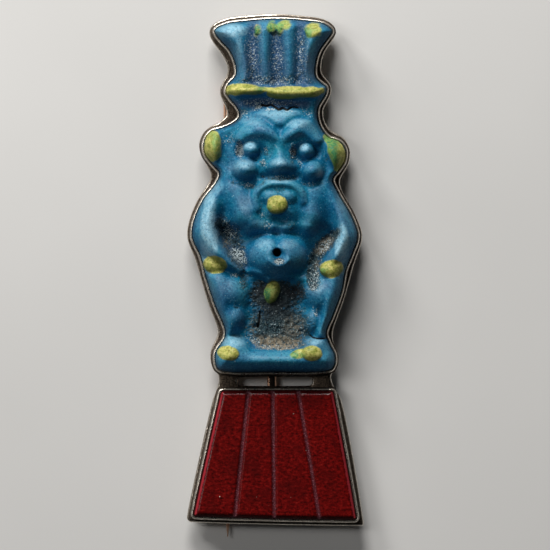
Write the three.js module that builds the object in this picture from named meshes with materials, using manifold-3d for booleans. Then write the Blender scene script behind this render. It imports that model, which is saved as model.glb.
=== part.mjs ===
import * as THREE from 'three';
import { mergeVertices } from 'three/addons/utils/BufferGeometryUtils.js';
import Module from 'manifold-3d';

const wasm = await Module();
wasm.setup();

// A brooch lying on its back: a moulded figure of Bes above a red stone tablet, each held by a
// metal wall on one back plate, with a hinged pin behind. Millimetres, +Z out of its front,
// +Y towards the top of the figure.

// The figure
const figureHeight = 50;
const figureDepth = 8.3;
const girdleHeight = 2.2;
const shoulderRise = 3.3;
const shoulderReach = 1.9;
const slopeBeyondShoulder = 1.2;

// The setting
const stoneClearance = 0.15;
const bezelWall = 0.35;
const bezelBevel = 0.12;
const bezelSetback = 0.2;
const flangeWidth = 0.35;
const tabletFlange = 0.37;
const plateThickness = 0.8;
const plateBevel = 0.22;
const plateCornerRadius = 0.7;
const plateSpurRadius = 0.3;
const plateSmoothing = 1.2;

// The waist between figure and tablet
const waistGap = 2.7;
const waistWidth = 16;
const waistShare = 0.42;
const neckShare = 0.1;
const slotLength = 10.6;
const slotHeight = 1.2;
const slotRounding = 0.95;

// The tablet
const tabletHeight = 18;
const tabletTopWidth = 15.9;
const tabletBottomWidth = 23.2;
const tabletTopShift = 0.3;
const tabletDrop = 0.5;
const tabletCornerRadius = 0.3;
const tabletGirdle = 2.0;
const tabletBevel = 0.5;
const tabletBevelHeight = 0.45;
const grooveWidth = 0.75;
const grooveDepth = 0.28;

// The frame behind the plate
const backHeight = 2;
const spineWidth = 1.3;
const spineShift = -0.45;
const spineBevel = 0.25;
const barHeight = 3;
const upperBarLength = 11.4;
const lowerBarLength = 13.4;
const barClearance = 0.3;

// The pin, its hinge and its catch
const pinShift = -6.7;
const hingeHeight = 40;
const catchDrop = 17;
const pinAxisDepth = 1;
const stemDiameter = 1.2;
const stemPointDiameter = 0.15;
const stemPointLength = 10;
const stemTaper = [[0.4, 0.82], [0.75, 0.5]];
const stemSides = 24;
const stemOverhang = 1.9;
const eyeDiameter = 1.45;
const eyeWidth = 0.9;
const rivetDiameter = 0.6;
const rivetHeadDiameter = 1;
const rivetHeadHeight = 0.2;
const rivetCrown = [[1, 0.3], [0.6, 0.85]];
const rivetSides = 24;
const runningClearance = 0.05;
const earThickness = 0.4;
const bracketThickness = 0.22;
const catchWall = 0.28;
const catchWidth = 1.6;
const catchMouthAngle = 80;

// Materials
const faience = new THREE.MeshStandardMaterial({ color: 0x1f6285, roughness: 0.42, metalness: 0 });
const redStone = new THREE.MeshStandardMaterial({ color: 0x6e1210, roughness: 0.3, metalness: 0 });
const silver = new THREE.MeshStandardMaterial({ color: 0x9a9184, roughness: 0.36, metalness: 1 });
const copper = new THREE.MeshStandardMaterial({ color: 0xc98a64, roughness: 0.34, metalness: 1 });

// The figure's outline and carving are laid out in parts of its own height: 353 parts from the
// underside of its base to the top of its crown. Across is measured from its middle line. Heights
// of the carving are in parts of its depth: 59 from its flat back to the tip of its nose.
const heightParts = 353;
const depthParts = 59;
const part = figureHeight / heightParts;
const depthPart = figureDepth / depthParts;

// Outline points: across, up, and the plate's reach there in flange widths. Clockwise.
const crownRight = [56.5, 341, 0.8];
const crownLeft = [-60, 341, 1.2];
const rightOutline = [
  // crown
  [0, 352.5, 1], [28, 351, 0.8], [49, 347.5, 0.8], crownRight,
  [52, 333.5, 0.7], [43.5, 321, 0.9], [39.5, 306, 1.2], [40, 295, 1.4],
  // headband
  [45, 289, 1.7], [51, 284, 1], [49, 276.5, 1],
  // temple
  [42.5, 265, 0.8], [42, 254, 1.2], [46.5, 242, 1.1],
  // ear and jaw
  [54, 234, 1.5], [63, 231, 1.3], [69.5, 223, 0.8], [69, 211, 0.8], [62.5, 201, 1], [57, 193, 1.6],
  // arm
  [62.5, 179, 0.5], [76, 155, 0.6], [82, 136, 0.9], [76, 117, 0.9], [70, 102, 1.5],
  // leg and foot
  [66, 81, 0.8], [57, 56, 0.9], [50.5, 39, 1.4], [53.5, 29, 0.4], [59.5, 15, 0.4], [57, 4, 0.5],
];
const leftOutline = [
  // foot and leg
  [-57, 4, 0.6], [-59, 19, 1], [-50, 34, 1.8], [-49.5, 43, 1.6], [-59, 66, 1.3], [-68, 93, 1],
  // arm
  [-74, 116, 1.3], [-82, 134, 1], [-81.5, 147, 0.8], [-72.5, 170, 0.8], [-58, 189.5, 1.5],
  // jaw and ear
  [-55, 199, 2.2], [-63, 209, 0.8], [-69.5, 218, 0.5], [-70.5, 230, 0.9], [-64, 240, 0.7],
  [-53, 243.5, 1.2],
  // temple
  [-41, 249, 2.4], [-35, 256, 3.4], [-37, 264, 3.2],
  // headband
  [-45, 274, 1.6], [-49, 281, 1.4], [-45.5, 288.5, 1.2],
  // crown
  [-39, 296, 2.1], [-38.5, 305, 2], [-44.5, 321, 2.2], [-55, 333, 1.7], crownLeft,
  [-49, 347.5, 1.2], [-28, 350.5, 1.2],
];
const baseEdge = [[44, 0.5, 1], [0, 0, 1], [-47, 0.5, 1]];

// Curves

function clamp(value, low = 0, high = 1) {
  return Math.min(high, Math.max(low, value));
}

function mix(a, b, t) {
  return a + (b - a) * t;
}

function ease(a, b, value) {
  const t = clamp((value - a) / (b - a));
  return t * t * (3 - 2 * t);
}

// The first span whose end is at least that far along.
function spanAt(lengths, wanted) {
  const found = lengths.findIndex((length, i) => i > 0 && length >= wanted);
  return found < 0 ? lengths.length - 1 : found;
}

// Evenly many points on each span of the closed outline, the reach in z.
function sampleOutline(stepsPerSpan) {
  const controls = [...rightOutline, ...baseEdge, ...leftOutline];
  const curve = new THREE.CatmullRomCurve3(
    controls.map(([across, up]) => new THREE.Vector3(across * part, up * part, 0)),
    true,
    'centripetal',
  );
  const points = [];
  controls.forEach(([, , reach], i) => {
    const nextReach = controls[(i + 1) % controls.length][2];
    for (let step = 0; step < stepsPerSpan; step++) {
      const t = step / stepsPerSpan;
      const point = curve.getPoint((i + t) / controls.length);
      point.z = mix(reach, nextReach, t);
      points.push(point);
    }
  });
  return points;
}

const outlineSteps = 12;
const fineOutline = sampleOutline(outlineSteps);

// Leaves out points that a straight line would miss by less than the tolerance.
function thinned(points, tolerance, longest) {
  const kept = [points[0]];
  let from = 0;
  for (let i = 2; i <= points.length; i++) {
    const a = points[from];
    const b = points[i % points.length];
    const chord = Math.hypot(b.x - a.x, b.y - a.y);
    let worst = 0;
    for (let k = from + 1; k < i; k++) {
      const p = points[k];
      const cross = (b.x - a.x) * (p.y - a.y) - (b.y - a.y) * (p.x - a.x);
      worst = Math.max(worst, Math.abs(cross) / Math.max(chord, 1e-9));
    }
    if (worst > tolerance || chord > longest) {
      from = i - 1;
      kept.push(points[from]);
    }
  }
  return kept;
}

// A clockwise loop moved outwards, by a distance or by a function of the point.
function offsetLoop(loop, distance) {
  return loop.map((point, i) => {
    const before = loop[(i + loop.length - 1) % loop.length];
    const after = loop[(i + 1) % loop.length];
    const into = new THREE.Vector2(point.x - before.x, point.y - before.y).normalize();
    const out = new THREE.Vector2(after.x - point.x, after.y - point.y).normalize();
    const normal = new THREE.Vector2(-(into.y + out.y), into.x + out.x).normalize();
    const halfTurn = Math.max(0.5, normal.dot(new THREE.Vector2(-into.y, into.x)));
    const length = (typeof distance === 'function' ? distance(point) : distance) / halfTurn;
    return new THREE.Vector3(point.x + normal.x * length, point.y + normal.y * length, point.z);
  });
}

// The corners of a clockwise polygon, each rounded by an arc of its own radius.
function roundedLoop(corners, radii, steps = 4) {
  const loop = [];
  corners.forEach((corner, i) => {
    const before = corners[(i + corners.length - 1) % corners.length];
    const after = corners[(i + 1) % corners.length];
    const back = new THREE.Vector2(before.x - corner.x, before.y - corner.y).normalize();
    const on = new THREE.Vector2(after.x - corner.x, after.y - corner.y).normalize();
    const half = back.angleTo(on) / 2;
    const middle = back.clone().add(on).normalize();
    const centre = middle.clone().multiplyScalar(radii[i] / Math.sin(half));
    const sweep = Math.PI - 2 * half;
    const start = Math.atan2(-middle.y, -middle.x) + sweep / 2;
    for (let step = 0; step <= steps; step++) {
      const angle = start - (sweep * step) / steps;
      loop.push(new THREE.Vector3(
        corner.x + centre.x + radii[i] * Math.cos(angle),
        corner.y + centre.y + radii[i] * Math.sin(angle),
        0,
      ));
    }
  });
  return loop;
}

// Closed meshes

function meshGeometry(vertices, triangles) {
  const geometry = new THREE.BufferGeometry();
  geometry.setAttribute('position', new THREE.Float32BufferAttribute(vertices.flat(), 3));
  geometry.setIndex(triangles.flat());
  return geometry;
}

// Triangles that fill a flat loop, facing up. Indices count the loop, then the holes.
function fillLoop(loop, holes = []) {
  const flat = (points) => points.map((p) => new THREE.Vector2(p.x, p.y));
  const all = [loop, ...holes].flat();
  return THREE.ShapeUtils.triangulateShape(flat(loop), holes.map(flat)).map(([a, b, c]) => {
    const area = (all[b].x - all[a].x) * (all[c].y - all[a].y)
      - (all[c].x - all[a].x) * (all[b].y - all[a].y);
    return area > 0 ? [a, b, c] : [a, c, b];
  });
}

// A flat body: clockwise loops of one count stacked upwards, with straight holes through it.
function slab(levels, holes = []) {
  const count = levels[0].loop.length;
  const vertices = levels.flatMap(({ z, loop }) => loop.map((p) => [p.x, p.y, z]));
  const triangles = [];
  const wall = (low, high, size, outwards) => {
    for (let i = 0; i < size; i++) {
      const j = (i + 1) % size;
      const quad = outwards
        ? [[low + i, high + i, high + j], [low + i, high + j, low + j]]
        : [[low + i, high + j, high + i], [low + i, low + j, high + j]];
      triangles.push(...quad);
    }
  };
  for (let level = 1; level < levels.length; level++) {
    wall((level - 1) * count, level * count, count, true);
  }
  const bottom = levels[0];
  const top = levels[levels.length - 1];
  const bottomIndex = bottom.loop.map((_, i) => i);
  const topIndex = bottom.loop.map((_, i) => (levels.length - 1) * count + i);
  holes.forEach((hole) => {
    const low = vertices.length;
    const high = low + hole.length;
    vertices.push(...hole.map((p) => [p.x, p.y, bottom.z]), ...hole.map((p) => [p.x, p.y, top.z]));
    bottomIndex.push(...hole.map((_, i) => low + i));
    topIndex.push(...hole.map((_, i) => high + i));
    wall(low, high, hole.length, false);
  });
  fillLoop(top.loop, holes).forEach(([a, b, c]) => {
    triangles.push([topIndex[a], topIndex[b], topIndex[c]]);
  });
  fillLoop(bottom.loop, holes).forEach(([a, b, c]) => {
    triangles.push([bottomIndex[a], bottomIndex[c], bottomIndex[b]]);
  });
  return meshGeometry(vertices, triangles);
}

function toSolid(geometry) {
  const bare = geometry.clone();
  bare.deleteAttribute('normal');
  bare.deleteAttribute('uv');
  const merged = mergeVertices(bare, 1e-5);
  return new wasm.Manifold(new wasm.Mesh({
    numProp: 3,
    vertProperties: Float32Array.from(merged.attributes.position.array),
    triVerts: Uint32Array.from(merged.index.array),
  }));
}

function fromSolid(solid) {
  const { vertProperties, triVerts } = solid.getMesh();
  const geometry = new THREE.BufferGeometry();
  geometry.setAttribute('position', new THREE.BufferAttribute(vertProperties, 3));
  geometry.setIndex(new THREE.BufferAttribute(triVerts, 1));
  return geometry;
}

// Levels above the surface that the brooch lies on
const plateBottom = backHeight;
const plateTop = plateBottom + plateThickness;

// The relief, in parts above the figure's flat back

// The higher of two surfaces, blended over that height where they meet.
function joined(a, b, blend) {
  const near = Math.max(blend - Math.abs(a - b), 0) / blend;
  return Math.max(a, b) + (near * near * blend) / 4;
}

// A rounded form: its top at 0, its foot at 1, and falling away beyond.
const fallBeyondFoot = 24;

function rounded(distance, foot, top, power) {
  return distance < 1
    ? foot + (top - foot) * (1 - distance * distance) ** power
    : foot - (distance - 1) * fallBeyondFoot;
}

function ellipseDistance(x, y, [across, up], [width, height], turn = 0) {
  const angle = THREE.MathUtils.degToRad(turn);
  const dx = x - across;
  const dy = y - up;
  const along = dx * Math.cos(angle) + dy * Math.sin(angle);
  const side = -dx * Math.sin(angle) + dy * Math.cos(angle);
  return Math.hypot(along / width, side / height);
}

// Distance to a line of points, and the values those points hold at the nearest place.
function nearestOnLine(x, y, line) {
  let best = { distance: Infinity };
  for (let i = 1; i < line.length; i++) {
    const [ax, ay] = line[i - 1];
    const [bx, by] = line[i];
    const span = (bx - ax) ** 2 + (by - ay) ** 2;
    const t = clamp(((x - ax) * (bx - ax) + (y - ay) * (by - ay)) / span);
    const distance = Math.hypot(x - mix(ax, bx, t), y - mix(ay, by, t));
    if (distance < best.distance) {
      best = { distance, values: line[i].map((value, k) => mix(line[i - 1][k], value, t)) };
    }
  }
  return best;
}

// The ground that the forms rise from: up, height.
const groundHeights = [
  [0, 26], [22, 26], [28, 21], [60, 21], [100, 21], [140, 22], [150, 27], [180, 31],
  [230, 29], [258, 27], [266, 25], [276, 27], [286, 31], [302, 34], [353, 35],
];

function ground(y) {
  const next = groundHeights.findIndex(([up]) => up > y);
  if (next <= 0) {
    return groundHeights[next === 0 ? 0 : groundHeights.length - 1][1];
  }
  const [lowUp, low] = groundHeights[next - 1];
  const [highUp, high] = groundHeights[next];
  return mix(low, high, ease(lowUp, highUp, y));
}

// What each form is: a hump {at, size, foot, top, turn}, a limb {line: [across, up, radius, top],
// foot}, a dish {at, size, deep} or a groove {cut, wide, deep}. blend is how softly it joins, power
// how square its shoulders are: 0.5 for an ellipse, more for a peak.
const usualPower = 0.8;
const plumes = { foot: 32, blend: 6, power: 1 };
const brow = { foot: 34, blend: 4, power: 0.75 };
const arm = { foot: 20, blend: 8 };
const leg = { foot: 20, blend: 8 };
const carving = [
  // plumes of the crown, and the valleys between them
  {
    line: [[-44, 346, 15, 39], [-38.5, 326, 11.5, 41.5], [-34, 306, 10, 41.5], [-32, 288, 9, 38]],
    ...plumes,
  },
  { line: [[-12, 347, 9, 40.5], [-11, 318, 8, 41.5], [-9, 288, 7, 37]], ...plumes },
  { line: [[11, 347, 9, 40.5], [12.5, 318, 8, 41.5], [13, 288, 7, 37]], ...plumes },
  { line: [[44, 346, 12, 39.5], [35, 322, 9.5, 41.5], [33, 288, 8.5, 38]], ...plumes },
  { cut: [[-21, 345], [-22.5, 318], [-20, 292]], wide: 8, deep: 2 },
  { cut: [[0, 343], [1, 315], [3, 294]], wide: 8, deep: 2 },
  { cut: [[23, 343], [24, 318], [23, 294]], wide: 7.5, deep: 2 },
  // headband
  {
    line: [
      [-48, 282, 7.5, 44], [-30, 281.5, 7.2, 46], [-12, 281.5, 5.5, 44.5],
      [0, 279.5, 6.8, 45.5], [25, 279.5, 7.2, 46.5], [49, 281, 7.2, 43],
    ],
    foot: 26,
    blend: 3,
    power: 0.7,
  },
  { cut: [[-12, 287], [-6, 276]], wide: 5, deep: 1.6 },
  // head
  { at: [4, 220], size: [50, 44], foot: 22, top: 45, blend: 8, power: 0.6 },
  { at: [5, 240], size: [44, 26.5], foot: 26, top: 48.5, blend: 8, power: 0.6 },
  // ears
  { at: [-61.5, 225.5], size: [9.5, 17], foot: 24, top: 41, blend: 3, power: 0.5 },
  {
    line: [[52, 233, 5, 37], [61, 227, 7.5, 41], [65, 215, 8.5, 41.5], [62, 204, 6, 35]],
    foot: 24,
    blend: 3,
    power: 0.6,
  },
  // arms
  {
    line: [
      [-50, 190, 18, 32], [-60, 178, 19, 37.5], [-68, 160, 17, 41], [-71, 143, 14.5, 43.5],
      [-67, 129, 12.5, 45], [-58, 118, 11, 44.5], [-46, 109, 8.5, 40], [-36, 102, 6, 33],
    ],
    ...arm,
  },
  {
    line: [
      [50, 188, 18, 32], [61, 176, 19, 37.5], [69, 159, 17, 41], [72, 141, 14.5, 43.5],
      [68, 126, 12.5, 45], [61, 115, 11, 44], [53, 105, 8, 37],
    ],
    ...arm,
  },
  // beard, the lobes beside it and the hollows between them and the arms
  { at: [3, 172], size: [40, 36], foot: 24, top: 44, blend: 8 },
  {
    line: [[-31, 192, 11, 39], [-30, 173, 14, 43], [-24, 157, 14, 44], [-19, 147, 11, 42]],
    foot: 24,
    blend: 10,
    power: 0.9,
  },
  {
    line: [[33, 190, 11, 39], [33, 172, 14, 42.5], [33, 157, 13, 43], [31, 147, 10, 40]],
    foot: 24,
    blend: 10,
    power: 0.9,
  },
  { at: [0, 146], size: [22, 9], foot: 26, top: 39, blend: 10 },
  { at: [-46, 160], size: [11, 20], deep: 4, turn: -12 },
  { at: [47, 160], size: [10, 20], deep: 4, turn: 12 },
  // brows
  {
    cut: [
      [-34, 236], [-33, 244], [-28, 251], [-21, 254.5], [-13, 254], [-5, 249.5], [2, 243],
      [6.5, 239], [11, 243.5], [17, 250], [24, 253.5], [31, 251.5], [37, 245], [40, 238],
    ],
    wide: 7.5,
    deep: 3.2,
  },
  { at: [5.5, 243], size: [10, 10], deep: 3 },
  {
    line: [
      [-30, 234, 8, 43], [-24, 239, 11, 49], [-15, 241, 12, 52.5], [-6, 236.5, 11.5, 53],
      [3, 230, 9, 51.5],
    ],
    ...brow,
  },
  {
    line: [
      [9, 231, 8, 51.5], [17, 237.5, 9.5, 52.5], [25, 241.5, 10, 51], [33, 239, 9, 47],
      [39, 231, 7, 42],
    ],
    ...brow,
  },
  // eyes in their sockets
  { at: [-26, 219], size: [18, 14], deep: 13 },
  { at: [31, 218], size: [17, 14], deep: 13 },
  { at: [-23, 222.3], size: [11.5, 10.8], foot: 30, top: 47, blend: 4, power: 0.9 },
  { at: [31, 220.5], size: [10.4, 10.6], foot: 30, top: 46.5, blend: 4, power: 0.9 },
  // nose
  {
    line: [[7, 240, 7, 50], [6, 226, 8.5, 50], [5, 216, 12, 53.5], [4.8, 209.5, 15, 57.5]],
    foot: 33,
    blend: 8,
    power: 1.1,
  },
  { at: [5.5, 205], size: [16.5, 8.6], foot: 34, top: 54.5, blend: 6 },
  // cheeks
  { at: [-29, 203], size: [15, 13.4], foot: 30, top: 50, blend: 5, power: 0.9 },
  { at: [37, 201.3], size: [13, 13], foot: 30, top: 48.5, blend: 5, power: 0.9 },
  { cut: [[-12, 194.5], [5, 193.5], [20, 194.5]], wide: 5.5, deep: 4.5 },
  { cut: [[-42, 193], [-30, 188], [-20, 187]], wide: 4.5, deep: 2 },
  { cut: [[29, 187], [37, 186], [46, 190]], wide: 4.5, deep: 2 },
  // mouth: the upper lip over two teeth
  {
    line: [
      [-18, 164, 4, 42], [-19, 172, 4.8, 44.5], [-17, 180, 5.2, 47], [-11, 185.5, 5.4, 49],
      [-3, 188, 5.6, 50.3], [5, 188.3, 5.6, 50.6], [13, 187.5, 5.6, 50.3], [20.5, 184.5, 5.4, 49],
      [26, 179, 5, 47], [28, 171, 4.5, 44],
    ],
    foot: 37,
    blend: 6,
  },
  { at: [-4, 176], size: [12, 8.5], foot: 37, top: 48.3, blend: 5, power: 0.9 },
  { at: [13, 176], size: [10.5, 8.5], foot: 37, top: 47.8, blend: 5, power: 0.9 },
  { at: [6, 152], size: [15, 10], deep: 6 },
  // belly, its navel and the hollows inside the elbows
  { at: [2, 116], size: [33.5, 26], foot: 18, top: 54, blend: 7 },
  { cut: [[2, 138], [2.5, 127]], wide: 7, deep: 3 },
  { at: [4, 116.5], size: [11.5, 11], deep: 8 },
  { at: [2.2, 119.3], size: [5.2, 5.2], deep: 20 },
  { at: [-49, 136], size: [19, 13], deep: 6, turn: -55 },
  { at: [40, 118], size: [12, 20], deep: 4 },
  { cut: [[49, 134], [57, 138]], wide: 4, deep: 3 },
  // pelvis
  { cut: [[-25, 101], [-16, 98], [-7, 92]], wide: 4, deep: -4 },
  { cut: [[-5, 92], [4, 93.5], [18, 94], [29, 93.5]], wide: 4, deep: -3.5 },
  // legs
  { line: [[-58, 92, 13, 36], [-56, 70, 12.5, 35.5], [-50, 50, 10.5, 34.5], [-47, 42, 8, 33]], ...leg },
  { line: [[58, 92, 13, 38], [57, 70, 11.5, 38], [52, 50, 10.5, 37], [47, 38, 8, 35]], ...leg },
  { at: [-46, 82], size: [24, 20], foot: 20, top: 40, blend: 12, power: 0.9 },
  { at: [44, 80], size: [19, 22], foot: 20, top: 40.5, blend: 12, turn: 25, power: 0.9 },
  { at: [-41, 56], size: [12.5, 14], foot: 20, top: 36, blend: 9 },
  { at: [38, 51], size: [9.5, 14], foot: 20, top: 35, blend: 10 },
  // base and feet
  { line: [[-51, 10, 13.5, 40], [0, 9.5, 13.2, 40.5], [51, 10, 13.5, 40]], foot: 20, blend: 4, power: 0.7 },
  { at: [-40, 21], size: [24, 14], foot: 20, top: 41, blend: 6, turn: -28, power: 0.7 },
  { at: [41, 23], size: [17, 14], foot: 22, top: 42, blend: 6, power: 0.7 },
  { cut: [[34, 35], [41, 33.5], [50, 34]], wide: 2.4, deep: 3 },
];

// Blobs of yellow glaze and how far each stands out: crown, tongue, hands, loins, feet.
const blobs = [
  { at: [-3, 344.5], size: [5, 6], rise: 1.2, turn: 10 },
  { at: [5, 343], size: [4.2, 6.2], rise: 1.2, turn: 0 },
  { at: [9.5, 347], size: [6.4, 5], rise: 1.4, turn: 10 },
  { at: [38, 341.5], size: [8.4, 8.2], rise: 1.8, turn: 0 },
  { at: [2.5, 167], size: [10.2, 9.6], rise: 6.5, turn: 0 },
  { at: [-60.3, 107.3], size: [11.8, 8.8], rise: 8, turn: -8 },
  { at: [56.5, 103], size: [11.6, 8.8], rise: 8, turn: 6 },
  { at: [-3, 80.5], size: [7.6, 11.4], rise: 8, turn: -14 },
  { at: [-47, 19], size: [11.2, 7], rise: 6, turn: -8 },
  { at: [24, 19], size: [8, 4], rise: 3.5, turn: 12 },
  { at: [36.3, 19], size: [10.6, 7.8], rise: 6, turn: -6 },
].map((blob) => ({ ...blob, middle: carved(...blob.at) }));
const blobLevelling = 0.4;
const blobPower = 0.6;

function carved(x, y) {
  return carving.reduce((height, form) => {
    if (form.cut) {
      const t = clamp(nearestOnLine(x, y, form.cut).distance / form.wide);
      return height - form.deep * (1 - t * t) ** 2;
    }
    if (form.deep) {
      const t = clamp(ellipseDistance(x, y, form.at, form.size, form.turn));
      return height - form.deep * (1 - t * t) ** 2;
    }
    const { foot, blend, power = usualPower } = form;
    if (form.line) {
      const { distance, values: [, , radius, top] } = nearestOnLine(x, y, form.line);
      return joined(height, rounded(distance / radius, foot, top, power), blend);
    }
    const away = ellipseDistance(x, y, form.at, form.size, form.turn);
    return joined(height, rounded(away, foot, form.top, power), blend);
  }, ground(y));
}

function relief(x, y) {
  const height = carved(x, y);
  return blobs.reduce((top, { at, size, rise, turn, middle }) => {
    const t = clamp(ellipseDistance(x, y, at, size, turn));
    const level = mix(height, middle, blobLevelling);
    return t < 1 ? Math.max(top, level + rise * (1 - t * t) ** blobPower) : top;
  }, height);
}

function distanceToOutline(x, y) {
  let nearest = Infinity;
  fineOutline.forEach((point, i) => {
    const next = fineOutline[(i + 1) % fineOutline.length];
    const dx = next.x - point.x;
    const dy = next.y - point.y;
    const t = clamp(((x - point.x) * dx + (y - point.y) * dy) / (dx * dx + dy * dy));
    nearest = Math.min(nearest, Math.hypot(x - point.x - t * dx, y - point.y - t * dy));
  });
  return nearest;
}

const shoulderBlend = 4;

// The relief in millimetres, held down to a rounded shoulder along the outline.
function surfaceHeight(x, y) {
  const edge = distanceToOutline(x, y);
  const turned = 1 - clamp(edge / shoulderReach);
  const shoulder = girdleHeight + shoulderRise * Math.sqrt(1 - turned * turned)
    + slopeBeyondShoulder * Math.max(edge - shoulderReach, 0);
  return -joined(-relief(x / part, y / part) * depthPart, -shoulder, shoulderBlend * depthPart);
}

// The figure: a net of rows and columns stretched over the outline, with a flat back
const netRows = 84;
const netColumns = 28;
const columnCrowding = 0.6;
const crownCorner = rightOutline.indexOf(crownRight);
const crownCornerLeft = rightOutline.length + baseEdge.length + leftOutline.indexOf(crownLeft);

function figureGeometry() {
  const at = (control) => control * outlineSteps;
  const footRight = at(rightOutline.length - 1);
  const footLeft = at(rightOutline.length + baseEdge.length);
  const right = fineOutline.slice(at(crownCorner), footRight + 1);
  const bottom = fineOutline.slice(footRight, footLeft + 1).reverse();
  const left = fineOutline.slice(footLeft, at(crownCornerLeft) + 1).reverse();
  const top = [
    ...fineOutline.slice(at(crownCornerLeft)),
    ...fineOutline.slice(0, at(crownCorner) + 1),
  ];

  // A point on a run of points, where one of its coordinates has that value.
  const onRun = (run, axis, value) => {
    const rising = run[run.length - 1][axis] > run[0][axis];
    let i = run.findIndex((p) => (rising ? p[axis] >= value : p[axis] <= value));
    i = clamp(i < 0 ? run.length - 1 : i, 1, run.length - 1);
    const t = clamp((value - run[i - 1][axis]) / (run[i][axis] - run[i - 1][axis]));
    return run[i - 1].clone().lerp(run[i], t);
  };

  // Rows closer together where the sides run across.
  const upper = right[0].y;
  const lower = right[right.length - 1].y;
  const samples = 600;
  const lengths = [0];
  for (let i = 1; i <= samples; i++) {
    const y0 = mix(upper, lower, (i - 1) / samples);
    const y1 = mix(upper, lower, i / samples);
    const run = [right, left].map((side) => onRun(side, 'y', y0).distanceTo(onRun(side, 'y', y1)));
    lengths.push(lengths[i - 1] + Math.max(...run));
  }
  const rowHeights = [];
  for (let row = 0; row <= netRows; row++) {
    const wanted = (lengths[samples] * row) / netRows;
    const i = spanAt(lengths, wanted);
    const t = (wanted - lengths[i - 1]) / (lengths[i] - lengths[i - 1]);
    rowHeights.push(mix(upper, lower, (i - 1 + t) / samples));
  }

  const vertices = [];
  rowHeights.forEach((y) => {
    const v = (upper - y) / (upper - lower);
    const start = onRun(left, 'y', y);
    const end = onRun(right, 'y', y);
    for (let column = 0; column <= netColumns; column++) {
      const even = column / netColumns;
      const u = mix(even, (1 - Math.cos(Math.PI * even)) / 2, columnCrowding);
      const crown = onRun(top, 'x', mix(top[0].x, top[top.length - 1].x, u));
      const base = onRun(bottom, 'x', mix(bottom[0].x, bottom[bottom.length - 1].x, u));
      const lift = (1 - v) * (crown.y - upper) + v * (base.y - lower);
      const x = mix(start.x, end.x, u);
      const isEdge = column % netColumns === 0 || v === 0 || v === 1;
      const height = isEdge ? girdleHeight : surfaceHeight(x, y + lift);
      vertices.push([x, y + lift, height]);
    }
  });

  const index = (row, column) => row * (netColumns + 1) + column;
  const triangles = [];
  for (let row = 0; row < netRows; row++) {
    for (let column = 0; column < netColumns; column++) {
      const a = index(row, column);
      const b = index(row, column + 1);
      const c = index(row + 1, column + 1);
      const d = index(row + 1, column);
      triangles.push([a, d, c], [a, c, b]);
    }
  }

  const rim = [];
  for (let column = 0; column < netColumns; column++) rim.push(index(0, column));
  for (let row = 0; row < netRows; row++) rim.push(index(row, netColumns));
  for (let column = netColumns; column > 0; column--) rim.push(index(netRows, column));
  for (let row = netRows; row > 0; row--) rim.push(index(row, 0));
  const foot = vertices.length;
  rim.forEach((vertex) => vertices.push([vertices[vertex][0], vertices[vertex][1], 0]));
  rim.forEach((vertex, i) => {
    const j = (i + 1) % rim.length;
    triangles.push([foot + i, vertex, rim[j]], [foot + i, rim[j], foot + j]);
  });
  const footLoop = rim.map((vertex) => new THREE.Vector3(...vertices[vertex]));
  fillLoop(footLoop).forEach(([a, b, c]) => triangles.push([foot + a, foot + c, foot + b]));
  return meshGeometry(vertices, triangles);
}

// The tablet
const tabletTop = -waistGap;
const tabletBottom = tabletTop - tabletHeight;

function tabletCorners() {
  return [
    new THREE.Vector3(tabletTopShift - tabletTopWidth / 2, tabletTop, 0),
    new THREE.Vector3(tabletTopShift + tabletTopWidth / 2, tabletTop, 0),
    new THREE.Vector3(tabletBottomWidth / 2, tabletBottom - tabletDrop / 2, 0),
    new THREE.Vector3(-tabletBottomWidth / 2, tabletBottom + tabletDrop / 2, 0),
  ];
}

function tabletLoop(outwards, radius) {
  return roundedLoop(offsetLoop(tabletCorners(), outwards), [radius, radius, radius, radius]);
}

// Where the three grooves start and end, as shares of the top and bottom widths.
const grooveRuns = [[0.24, 0.25], [0.46, 0.495], [0.69, 0.775]];

function tabletGeometry() {
  const body = toSolid(slab([
    { z: 0, loop: tabletLoop(0, tabletCornerRadius) },
    { z: tabletGirdle, loop: tabletLoop(0, tabletCornerRadius) },
    { z: tabletGirdle + tabletBevelHeight, loop: tabletLoop(-tabletBevel, tabletCornerRadius) },
  ]));
  const [topLeft, topRight, bottomRight, bottomLeft] = tabletCorners();
  const face = tabletGirdle + tabletBevelHeight;
  const spare = 1;
  const cutters = grooveRuns.map(([topShare, bottomShare]) => {
    const start = topLeft.clone().lerp(topRight, topShare);
    const end = bottomLeft.clone().lerp(bottomRight, bottomShare);
    const section = new THREE.Shape();
    section.moveTo(-grooveWidth / 2, spare);
    section.lineTo(-grooveWidth / 2, 0);
    section.quadraticCurveTo(0, -2 * grooveDepth, grooveWidth / 2, 0);
    section.lineTo(grooveWidth / 2, spare);
    const length = start.distanceTo(end) + 2 * spare;
    const cutter = new THREE.ExtrudeGeometry(section, {
      depth: length,
      bevelEnabled: false,
      curveSegments: 6,
    });
    cutter.translate(0, 0, -spare);
    cutter.rotateX(Math.PI / 2);
    cutter.rotateZ(Math.atan2(end.x - start.x, start.y - end.y));
    cutter.translate(start.x, start.y, face);
    return toSolid(cutter);
  });
  return fromSolid(cutters.reduce((solid, cutter) => solid.subtract(cutter), body));
}

// The setting

const outlineTolerance = 0.025;
const outlineLongest = 1.8;
const plateLongest = 4.8;
const stoneLoop = thinned(fineOutline, outlineTolerance, outlineLongest);
const figureMargin = stoneClearance + bezelWall;
const tabletMargin = stoneClearance + bezelWall + tabletFlange;

// A wall round a stone, its outer top edge bevelled.
function bezelGeometry(inner, outer, height) {
  const low = height - bezelBevel;
  return slab([
    { z: 0, loop: outer },
    { z: low, loop: outer },
    { z: height, loop: offsetLoop(outer, -bezelBevel) },
  ], [inner]);
}

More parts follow.
